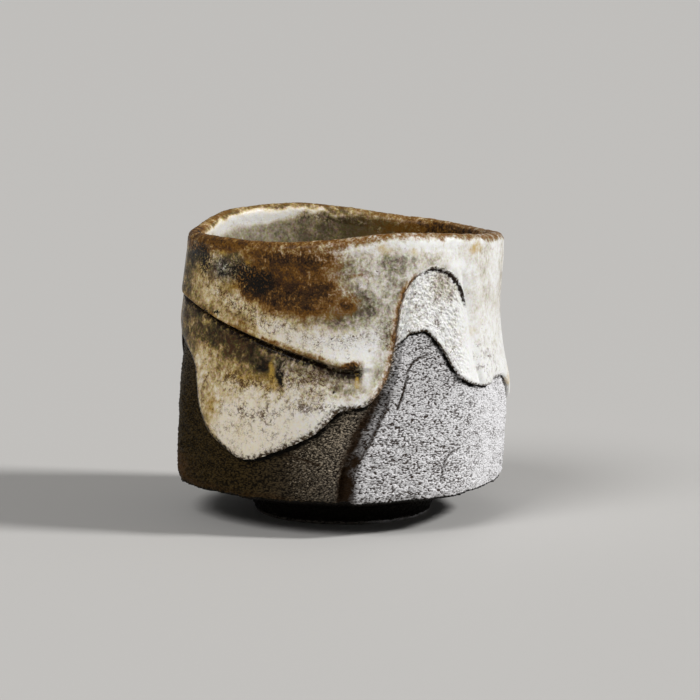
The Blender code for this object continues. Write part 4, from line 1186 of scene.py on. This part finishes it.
class SAKECUP_OT_foot_ring(bpy.types.Operator):
    """Model the foot ring with its grain"""

    bl_idname = "sakecup.foot_ring"
    bl_label = "Foot ring"

    def execute(self, context):
        sizes, colours = context.scene.cup_sizes, context.scene.cup_colours
        around = columns(FOOT_COLUMNS, 0.0)
        waver = FOOT_WAVER * np.sin(2 * np.radians(around))
        points = [
            (between(radius, next_radius, share), between(height, next_height, share))
            for (radius, height), (next_radius, next_height) in zip(FOOT_SECTION, FOOT_SECTION[1:])
            for share in np.linspace(0, 1, FOOT_RUN_ROWS + 1)[:-1]
        ]
        points.append(FOOT_SECTION[-1])
        radius, height = (np.array(values)[:, np.newaxis] for values in zip(*points))
        radius = radius + waver
        height = height + 0 * waver
        angle = np.broadcast_to(around, radius.shape)
        marks = {mark: np.zeros(angle.shape) for mark in CLAY_MARKS}
        marks["pale"] += FOOT_PALE
        # painted light on the foot's lowest edge on the right
        lit_edge = fade(turn(angle), *FOOT_LIT_EDGE_ANGLES) * fade(height, *FOOT_LIT_EDGE_HEIGHTS)
        marks["bleach"] = FOOT_LIT_EDGE * lit_edge
        # painted shade on the foot above its lowest edge
        marks["under"] = fade(height, *FOOT_SHADE_HEIGHTS)
        marks["bare"] = fade(height, *FOOT_BARE_LOW) * fade(height, *FOOT_BARE_HIGH)
        piece = skin("foot_ring_fine", angle, radius, height, marks)
        grain = (sizes.grain / MM, sizes.grain_depth / MM, FOOT_GRAIN_LEVEL)
        roughen(piece, "bare", [grain, FOOT_LUMPS])
        settle(piece, "foot_ring", clay_finish("bare grogged stoneware foot", colours))
        return {"FINISHED"}


# Mesh, relief and edge paint of the thick coat
SLOPE_STEP = 0.25  # degrees to each side over which an edge's slope is taken
EDGE_FINE_SAMPLES, EDGE_RISE_WEIGHT = 4321, 0.5
GLAZE_COLUMNS, GLAZE_ROW_COUNTS = 620, (42, 36, 44)
GLAZE_BACK_ROWS, GLAZE_BACK_DEPTH = 5, 1.6  # the coat's back, sunk into the clay
HIDDEN_BEAD_ROWS = 2  # rows of the bead that face the clay
SWELL_FLAT, SWELL_REACH = 0.6, 2.5  # the edge's swelling is full up to here, then dies away
FLUSH_EDGE, FLUSH_GAIN, FLUSH_REACH = 0.15, 0.6, 3.2  # thickness where the coat ends flush, with no bead
BEAD_LEAST = 0.2  # share of the bead's height that is left there
FOLD_ZONE, FOLD_ZONE_SHARE, FOLD_ZONE_DROP, FOLD_ZONE_MARGIN = 3.2, 0.3, 0.55, 0.15  # close rows there
STRAIGHTEN_OVER = 4  # height over which columns that slant out of the edge come upright
GLAZE_WAVES, WAVES_LIP_FADE = ((0.07, 5.0),), 6
NOTCH_DEPTH, NOTCH_REACH = 0.3, 0.6
PINHOLE_DEPTH, PINHOLE_REACH = 0.35, 0.25
# The edge mark darkens the rolled edge: glaze thinned there, and painted shade on the bead's underside, widest
# at the front and kept light at the right outline
EDGE_REACH, EDGE_REACH_LEFT, EDGE_REACH_LEFT_ANGLES = 0.65, 0.35, (20, 8)
EDGE_REACH_FRONT, EDGE_FRONT_ANGLE, EDGE_FRONT_SPREAD = 0.5, -4, 7
PALE_EDGE, PALE_EDGE_FROM, PALE_EDGE_TO = 0.8, (74, 80), (125, 110)
# On the left the edge gets a painted shadow line under the bead, and thin dark glaze beside it that is partly
# painted shade
LEFT_EDGE_THIN, LEFT_EDGE_THIN_REACH, LEFT_EDGE_THIN_ANGLES = 0.6, 1.2, (-38, -52)
LEFT_EDGE_LINE_REACH, LEFT_EDGE_LINE_ANGLES = 1.0, (-34, -46)
CREASE_EDGE_REACH, CREASE_EDGE_FROM, CREASE_EDGE_TO = 1.25, (8, 11), (29, 25)
CREASE_EDGE_OCHRE, CREASE_EDGE_IRON = 0.4, 0.68
GLAZE_ROUGHNESS = 0.3  # feldspar glaze fired to a soft gloss, milky where thick


def inward(edge_line, angle):
    """The direction across a coat's edge into the coat, as steps to the right and up."""
    rise = edge_line(angle + SLOPE_STEP) - edge_line(angle - SLOPE_STEP)
    slope = rise / (np.radians(2 * SLOPE_STEP) * MEAN_RADIUS)
    return -slope / np.hypot(1, slope), 1 / np.hypot(1, slope)


def edge_rows(section, edge_line, angle, lift):
    """Rows of a coat's rolled edge from its section, pairs of inset and rise: lift scales the rise."""
    inward_across, inward_up = inward(edge_line, angle)
    rows = []
    for inset, rise in section:
        row_angle = angle + np.degrees(inset * inward_across / MEAN_RADIUS)
        height = edge_line(angle) + inset * inward_up
        rows.append((row_angle, wall_radius(row_angle, height) + rise * lift, height))
    return rows


def glaze_edge_columns(count):
    """Angles of columns that stand evenly along the thick coat's edge line, on level and steep runs alike."""
    fine = np.linspace(-HALF_TURN, HALF_TURN, EDGE_FINE_SAMPLES)
    rise = np.diff(GLAZE_EDGE(fine))
    run = np.radians(np.diff(fine)) * MEAN_RADIUS
    length = np.concatenate([[0], np.cumsum(np.hypot(run, EDGE_RISE_WEIGHT * rise))])
    return np.interp(np.linspace(0, length[-1], count, endpoint=False), length, fine)


class SAKECUP_OT_outer_glaze(bpy.types.Operator):
    """Model the thick white coat with its rolled edges, fold and notch"""

    bl_idname = "sakecup.outer_glaze"
    bl_label = "Outer glaze"

    def execute(self, context):
        colours = context.scene.cup_colours
        base = glaze_edge_columns(GLAZE_COLUMNS)
        top = RIM_HEIGHT(turn(base)) - LIP_BAND_OUTSIDE(turn(base))
        distance = distance_to_line(EDGE_SAMPLES, glaze_edge(EDGE_SAMPLES))
        bead, swell = BEAD_STRENGTH(turn(base)), EDGE_SWELL(turn(base))

        def coat(angle, height):
            inside = distance(angle, height)
            swelling = (swell - 1) * np.exp(-np.maximum(inside - SWELL_FLAT, 0) / SWELL_REACH)
            rolled = GLAZE_THICKNESS(inside) * (1 + swelling)
            flush = FLUSH_EDGE + FLUSH_GAIN * fade(inside, 0, FLUSH_REACH)
            tucked = LIP_TUCK * fade(top - height, LIP_OVERLAP, 0)
            thickness = between(flush, rolled, bead)
            return between(LIP_COAT, thickness, fade(top - height, 0, GLAZE_LIP_FADE)) - tucked

        rows = edge_rows(BEAD_SECTION, glaze_edge, base, swell * between(BEAD_LEAST, 1, bead))
        start_angle, _, start_height = rows[-1]
        length = top - start_height
        zone = np.minimum(FOLD_ZONE, FOLD_ZONE_SHARE * length)
        margin = FOLD_ZONE_MARGIN * length
        under_fold = FOLD_HEIGHT(turn(base)) - FOLD_ZONE_DROP * zone
        under_fold = np.clip(under_fold, start_height + margin, top - margin - zone)
        stops = [start_height, under_fold, under_fold + zone, top]
        for low, high, count in zip(stops, stops[1:], GLAZE_ROW_COUNTS):
            for share in np.linspace(0, 1, count)[1:]:
                height = between(low, high, share)
                angle = between(start_angle, base, fade(height - start_height, 0, STRAIGHTEN_OVER))
                rows.append((angle, wall_radius(angle, height) + coat(angle, height), height))
        seen = slice(HIDDEN_BEAD_ROWS, len(rows))
        for share in np.linspace(1, 0, GLAZE_BACK_ROWS + 1)[:-1]:
            height = between(start_height, top, share)
            rows.append((base, wall_radius(base, height) - GLAZE_BACK_DEPTH, height))
        rows.append(rows[0])
        angle, radius, height = grid(rows)
        wave = waves(around_wall(angle, height), GLAZE_WAVES) * fade(top - height, 0, WAVES_LIP_FADE)
        notch = distance_to_line(*drawn_line(NOTCH_LINE))(angle, height)
        hole = distance_to_line(*np.transpose(PINHOLES))(angle, height)
        relief = wave - NOTCH_DEPTH * bell(notch, NOTCH_REACH) - PINHOLE_DEPTH * bell(hole, PINHOLE_REACH)
        radius[seen] += relief[seen]

        marks = glaze_marks(angle, height)
        front = turn(angle)
        inside = distance(angle, height)
        # painted shade on the bead's underside, with the glaze thinned at its edge
        reach = EDGE_REACH + EDGE_REACH_LEFT * fade(front, *EDGE_REACH_LEFT_ANGLES)
        reach = reach + EDGE_REACH_FRONT * bell(front - EDGE_FRONT_ANGLE, EDGE_FRONT_SPREAD)
        paling = PALE_EDGE * fade(front, *PALE_EDGE_FROM) * fade(front, *PALE_EDGE_TO)
        marks["edge"] = bell(inside, reach) * bead * (1 - paling)
        # painted shadow line along the left edge, and thin glaze beside it that is partly painted shade
        left_thin = bell(inside, LEFT_EDGE_THIN_REACH) * fade(front, *LEFT_EDGE_THIN_ANGLES)
        left_line = bell(inside, LEFT_EDGE_LINE_REACH) * fade(front, *LEFT_EDGE_LINE_ANGLES)
        crease_edge = bell(inside, CREASE_EDGE_REACH)
        crease_edge = crease_edge * fade(angle, *CREASE_EDGE_FROM) * fade(angle, *CREASE_EDGE_TO)
        for mark, values in {
            "thin": LEFT_EDGE_THIN * left_thin,
            "line": left_line,
            "ochre": CREASE_EDGE_OCHRE * crease_edge,
            "iron": CREASE_EDGE_IRON * crease_edge,
        }.items():
            marks[mark] = np.maximum(marks[mark], values)
        piece = skin("outer_glaze_fine", angle, radius, height, marks)
        finish = glaze_finish("white feldspar glaze", colours, GLAZE_ROUGHNESS)
        settle(piece, "outer_glaze", finish)
        return {"FINISHED"}


# Mesh, relief and paint of the thin coat
THIN_COLUMNS, THIN_ROWS, THIN_BACK_ROWS, THIN_BACK_DEPTH = 130, 109, 4, 0.1
THIN_SECTION = [
    (0.35, -0.1), (0.1, 0.15), (0.0, 0.4), (0.05, 0.65), (0.2, 0.85), (0.45, 1.0), (0.8, 1.05),
]
THIN_OVERLAP, THIN_LEAST_HEIGHT = 1.2, 0.8  # how far it runs up under the thick coat, and its least height
THIN_STRAIGHTEN_OVER = 0.3
THIN_SAG, THIN_SAG_RISES, THIN_SAG_ANGLES = 0.25, (1, 4), (46, 40)
THIN_STAIN_SHARE = 0.3
DRY_ANGLES, DRY_FIRST_ROW = (52, 44), 3
DRY_SPECKS = 0.44
# Overhang: a painted shadow on the thin coat under the thick coat's rolled edge at the arch
OVERHANG_REACH, OVERHANG_ANGLES, OVERHANG_HEIGHTS = 0.6, (29, 33), (39.5, 42.5)
THIN_EDGE_IRON, THIN_EDGE_IRON_ANGLES = 0.4, (28, 24)
THIN_EDGE_REACH = 0.45
PIT_WIDTH, PIT_LEVEL = 0.4, 0.6
THIN_LUMPS = (1.3, 0.3, 0.55)
THIN_ROUGHNESS = 0.5  # too thin to melt to glass: dry, with hardly a sheen


class SAKECUP_OT_thin_glaze(bpy.types.Operator):
    """Model the thin dry first pour with its pits and thick lower edge"""

    bl_idname = "sakecup.thin_glaze"
    bl_label = "Thin glaze"

    def execute(self, context):
        sizes, colours = context.scene.cup_sizes, context.scene.cup_colours
        base = np.linspace(THIN_FIRST_ANGLE, THIN_LAST_ANGLE, THIN_COLUMNS)
        low = thin_edge(base)
        high = np.maximum(glaze_edge(base) + THIN_OVERLAP, low + THIN_LEAST_HEIGHT)
        thick = THIN_THICKNESS(base)
        rows = edge_rows(THIN_SECTION, thin_edge, base, thick)
        start_angle, _, start_height = rows[-1]
        for share in np.linspace(0, 1, THIN_ROWS + 1)[1:]:
            height = between(start_height, high, share)
            angle = between(start_angle, base, fade(share, 0, THIN_STRAIGHTEN_OVER))
            sag = THIN_SAG * fade(height - low, *THIN_SAG_RISES) * fade(base, *THIN_SAG_ANGLES)
            rows.append((angle, wall_radius(angle, height) + thick * (1 - sag), height))
        dry_rows = slice(DRY_FIRST_ROW, len(rows) - 1)
        for share in np.linspace(1, 0, THIN_BACK_ROWS + 1)[:-1]:
            height = between(start_height, high, share)
            rows.append((base, wall_radius(base, height) - THIN_BACK_DEPTH * (thick > 0), height))
        rows.append(rows[0])
        angle, radius, height = grid(rows)
        marks = glaze_marks(angle, height)
        for mark in ("iron", "soot_and_shade", "line"):
            marks[mark] = THIN_STAIN_SHARE * marks[mark]
        dry = fade(angle, *DRY_ANGLES)
        to_coat = distance_to_line(EDGE_SAMPLES, glaze_edge(EDGE_SAMPLES))(angle, height)
        # painted shadow under the thick coat's roll
        beside_coat = bell(to_coat, OVERHANG_REACH)
        overhang = beside_coat * fade(angle, *OVERHANG_ANGLES) * fade(height, *OVERHANG_HEIGHTS)
        rusty = THIN_EDGE_IRON * beside_coat * fade(angle, *THIN_EDGE_IRON_ANGLES)
        marks["thin"] = painted(angle, height, PATCH_DABS)
        marks["line"] = np.maximum(marks["line"], overhang)
        marks["iron"] = np.maximum(marks["iron"], rusty)
        # painted shade along the thin coat's rolled lower edge, with the glaze thinned there
        marks["edge"] = bell(height - thin_edge(angle), THIN_EDGE_REACH)
        marks["specks"] = DRY_SPECKS * dry
        marks["bare"] = np.zeros(angle.shape)
        marks["bare"][dry_rows] = dry[dry_rows]
        piece = skin("thin_glaze_fine", angle, radius, height, marks, wrap=False)
        roughen(piece, "bare", [(PIT_WIDTH, sizes.patch_depth / MM, PIT_LEVEL), THIN_LUMPS])
        finish = glaze_finish("thin dry feldspar glaze", colours, THIN_ROUGHNESS)
        settle(piece, "thin_glaze", finish)
        return {"FINISHED"}


# Mesh, relief and paint of the lip
LIP_COLUMNS, LIP_CROWDING = 640, 20.0
LIP_FRONT_TILTS, LIP_BACK_TILTS = np.linspace(0, 180, 17), (0, 90, 180)
LIP_FRONT_SHARES, LIP_BACK_SHARES = np.linspace(0, 1, 10)[:-1], (0.0,)
LIP_BACK_SINK = -0.1  # the coat's back, sunk into the clay
LIP_SHADE_ROWS = 4  # rows from the top of the lip to its inside paint, with the shade line between them
LIP_SHADE, LIP_SHADE_FROM, LIP_SHADE_TO = 0.9, (-95, -75), (-15, -35)
LIP_GRAIN_WIDTH, LIP_GRAIN_LEVEL, LIP_GRAIN_FADE = 0.5, 0.6, 1
LIP_LUMPS = (2.2, 0.25, 0.6)
LIP_ROUGHNESS, LIP_BREAKUP = 0.3, 1.2  # glaze full of iron: rust-brown and granular


class SAKECUP_OT_iron_lip(bpy.types.Operator):
    """Model the granular iron coat over the lip"""

    bl_idname = "sakecup.iron_lip"
    bl_label = "Iron lip"

    def execute(self, context):
        sizes, colours = context.scene.cup_sizes, context.scene.cup_colours
        base = columns(LIP_COLUMNS, LIP_CROWDING)
        rim = RIM_HEIGHT(turn(base))
        outside = rim - LIP_BAND_OUTSIDE(turn(base)) - LIP_OVERLAP
        inside = rim - LIP_BAND_INSIDE(turn(base)) - LIP_OVERLAP
        lip_radius, lip_height = lip_centre(base)

        def layer(grow, tilts, skirt_shares):
            made = []
            for share in skirt_shares:
                height = between(outside, lip_height, share)
                tucked = LIP_TUCK * fade(height - outside, LIP_OVERLAP, 0)
                made.append((base, wall_radius(base, height) + grow - tucked, height))
            reach = LIP_HALF_THICKNESS + grow
            for tilt in np.radians(tilts):
                made.append((base, lip_radius + reach * np.cos(tilt), lip_height + reach * np.sin(tilt)))
            for share in skirt_shares[::-1]:
                height = between(inside, lip_height, share)
                tucked = LIP_TUCK * fade(height - inside, LIP_OVERLAP, 0)
                made.append((base, bore_radius(base, height) - grow + tucked, height))
            return made

        front = layer(LIP_COAT, LIP_FRONT_TILTS, LIP_FRONT_SHARES)
        rows = front + layer(LIP_BACK_SINK, LIP_BACK_TILTS, LIP_BACK_SHARES)[::-1] + front[:1]
        angle, radius, height = grid(rows)
        top_row = len(front) // 2
        inside_rows = np.zeros(angle.shape, bool)
        inside_rows[top_row + LIP_SHADE_ROWS : len(front)] = True
        marks = glaze_marks(angle, height)
        for mark, values in inside_marks(angle, height).items():
            marks[mark] = np.where(inside_rows, values, marks[mark])
        past_top = slice(top_row + 1, top_row + LIP_SHADE_ROWS)
        shade = LIP_SHADE * fade(angle, *LIP_SHADE_FROM) * fade(angle, *LIP_SHADE_TO)
        marks["line"][past_top] = shade[past_top]
        shared = np.where(inside_rows, inside, outside) + LIP_OVERLAP
        marks["bare"] = fade(height, shared, shared + LIP_GRAIN_FADE)
        marks["bare"][len(front) :] = 0
        piece = skin("iron_lip_fine", angle, radius, height, marks)
        grain = (LIP_GRAIN_WIDTH, sizes.lip_depth / MM, LIP_GRAIN_LEVEL)
        roughen(piece, "bare", [grain, LIP_LUMPS])
        finish = glaze_finish("iron coat on the lip", colours, LIP_ROUGHNESS, LIP_BREAKUP)
        settle(piece, "iron_lip", finish)
        return {"FINISHED"}


# Mesh and relief of the liner
LINER_COLUMNS, LINER_FILLET_ROWS, LINER_WALL_ROWS, LINER_BACK_ROWS = 360, 24, 79, 6
LINER_FLOOR_SHARES = np.linspace(0, 0.9, 10)
LINER_BACK_SINK = 0.05  # the liner's back, sunk into the clay
LINER_WAVES = ((0.12, 6.0),)
LINER_ROUGHNESS, LINER_BREAKUP = 0.25, 0.45  # pooled ash glaze: smooth, glassy and grey-green


class SAKECUP_OT_inner_glaze(bpy.types.Operator):
    """Model the liner glaze inside, pooled on the floor"""

    bl_idname = "sakecup.inner_glaze"
    bl_label = "Inner glaze"

    def execute(self, context):
        colours = context.scene.cup_colours
        base = columns(LINER_COLUMNS, 0.0)
        top = RIM_HEIGHT(turn(base)) - LIP_BAND_INSIDE(turn(base))
        fillet_start = FLOOR_HEIGHT + FLOOR_FILLET
        bowl = bore_radius(base, fillet_start) - FLOOR_FILLET
        rows = [(base, bowl * share, FLOOR_HEIGHT + LINER_POOL) for share in LINER_FLOOR_SHARES]
        first_wall_row = len(rows)
        for share in np.linspace(0, 1, LINER_FILLET_ROWS):
            tilt = math.radians(90 * (1 - share))
            reach = FLOOR_FILLET - between(LINER_POOL, LINER_THICKNESS, share)
            rows.append((base, bowl + reach * math.cos(tilt), fillet_start - reach * math.sin(tilt)))
        for share in np.linspace(0, 1, LINER_WALL_ROWS + 1)[1:]:
            height = between(fillet_start, top, share)
            tucked = LIP_TUCK * fade(top - height, LIP_OVERLAP, 0)
            coat = between(LINER_THICKNESS, LIP_COAT, share) - tucked
            rows.append((base, bore_radius(base, height) - coat, height))
        wall = slice(first_wall_row, len(rows))
        for share in np.linspace(1, 0, LINER_BACK_ROWS):
            height = between(fillet_start, top, share)
            rows.append((base, bore_radius(base, height) + LINER_BACK_SINK, height))
        for tilt in FILLET_TILTS[1:]:
            height = fillet_start - FLOOR_FILLET * np.sin(tilt) - LINER_BACK_SINK
            rows.append((base, bowl + FLOOR_FILLET * np.cos(tilt), height))
        rows.append((base, 0, FLOOR_HEIGHT - LINER_BACK_SINK))
        angle, radius, height = grid(rows)
        wave = waves(around_wall(angle, height), LINER_WAVES) * fade(top - height, 0, WAVES_LIP_FADE)
        radius[wall] += wave[wall]
        piece = skin("inner_glaze_fine", angle, radius, height, inside_marks(angle, height))
        finish = glaze_finish("grey-green liner glaze", colours, LINER_ROUGHNESS, LINER_BREAKUP)
        settle(piece, "inner_glaze", finish)
        return {"FINISHED"}


# Stage: the floor in metres, its gap under the foot in millimetres, and for each light its spread, its place
# to the right of the front and its height, in degrees
FLOOR_SIZE, FLOOR_GAP, FLOOR_ROUGHNESS = 12, 0.02, 0.7
KEY_LIGHT = (10, 80, 36)
FILL_LIGHT = (30, -40, 48)
SENSOR_WIDTH, CLIP_START = 36, 0.01


class SAKECUP_OT_stage(bpy.types.Operator):
    """Set the pale floor, the soft lights and the camera"""

    bl_idname = "sakecup.stage"
    bl_label = "Stage"

    def execute(self, context):
        settings = context.scene.cup_stage
        scene = context.scene
        bpy.ops.object.select_all(action="DESELECT")
        bpy.ops.mesh.primitive_plane_add(size=FLOOR_SIZE, location=(0, 0, CAD_BOX[0].z - FLOOR_GAP * MM))
        floor = context.object
        floor.name = "floor"
        # Matte paint, a pale and even ground without sheen
        finish = bpy.data.materials.new("matte painted floor")
        finish.use_nodes = True
        shader = finish.node_tree.nodes["Principled BSDF"]
        shader.inputs["Base Color"].default_value = rgba(settings.floor)
        shader.inputs["Roughness"].default_value = FLOOR_ROUGHNESS
        floor.data.materials.append(finish)

        aim = Vector((AXIS.x + settings.aim_right, AXIS.y, settings.aim_height))
        lights = (("key light", settings.key, KEY_LIGHT), ("fill light", settings.fill, FILL_LIGHT))
        for name, strength, (spread, right, up) in lights:
            bpy.ops.object.light_add(type="SUN", location=aim)
            lamp = context.object
            lamp.name = name
            lamp.data.energy = strength
            lamp.data.angle = math.radians(spread)
            lamp.rotation_euler = (math.radians(90 - up), 0, math.radians(right))

        world = bpy.data.worlds.new("soft room")
        world.use_nodes = True
        background = world.node_tree.nodes["Background"]
        background.inputs["Color"].default_value = (1, 1, 1, 1)
        background.inputs["Strength"].default_value = settings.sky
        scene.world = world

        bpy.ops.object.camera_add(location=(aim.x, AXIS.y - settings.distance, settings.camera_height))
        camera = context.object
        camera.data.lens = settings.lens
        camera.data.sensor_width = SENSOR_WIDTH
        camera.data.clip_start = CLIP_START
        camera.rotation_euler = (aim - camera.location).to_track_quat("-Z", "Y").to_euler()
        scene.camera = camera
        scene.view_settings.view_transform = "Standard"
        return {"FINISHED"}


class SAKECUP_PT_panel(bpy.types.Panel):
    """Lists the cup's pieces, sizes and colours"""

    bl_idname = "SAKECUP_PT_panel"
    bl_label = "Sake cup"
    bl_space_type = "VIEW_3D"
    bl_region_type = "UI"
    bl_category = "Sake cup"

    def draw(self, context):
        for operator in OPERATORS:
            self.layout.operator(operator.bl_idname)
        for group in (context.scene.cup_sizes, context.scene.cup_colours, context.scene.cup_stage):
            for name in group.__annotations__:
                self.layout.prop(group, name)


OPERATORS = (
    SAKECUP_OT_clay_body,
    SAKECUP_OT_foot_ring,
    SAKECUP_OT_outer_glaze,
    SAKECUP_OT_thin_glaze,
    SAKECUP_OT_iron_lip,
    SAKECUP_OT_inner_glaze,
    SAKECUP_OT_stage,
)
CLASSES = (CupSizes, CupColours, StageSettings, *OPERATORS, SAKECUP_PT_panel)


def register():
    for cls in CLASSES:
        bpy.utils.register_class(cls)
    bpy.types.Scene.cup_sizes = PointerProperty(type=CupSizes)
    bpy.types.Scene.cup_colours = PointerProperty(type=CupColours)
    bpy.types.Scene.cup_stage = PointerProperty(type=StageSettings)


def unregister():
    for name in ("cup_sizes", "cup_colours", "cup_stage"):
        delattr(bpy.types.Scene, name)
    for cls in reversed(CLASSES):
        bpy.utils.unregister_class(cls)


def main():
    """Builds the cup's pieces and the stage."""
    register()
    bpy.ops.sakecup.clay_body()
    bpy.ops.sakecup.foot_ring()
    bpy.ops.sakecup.outer_glaze()
    bpy.ops.sakecup.thin_glaze()
    bpy.ops.sakecup.iron_lip()
    bpy.ops.sakecup.inner_glaze()
    bpy.ops.sakecup.stage()


if __name__ == "__main__":
    main()
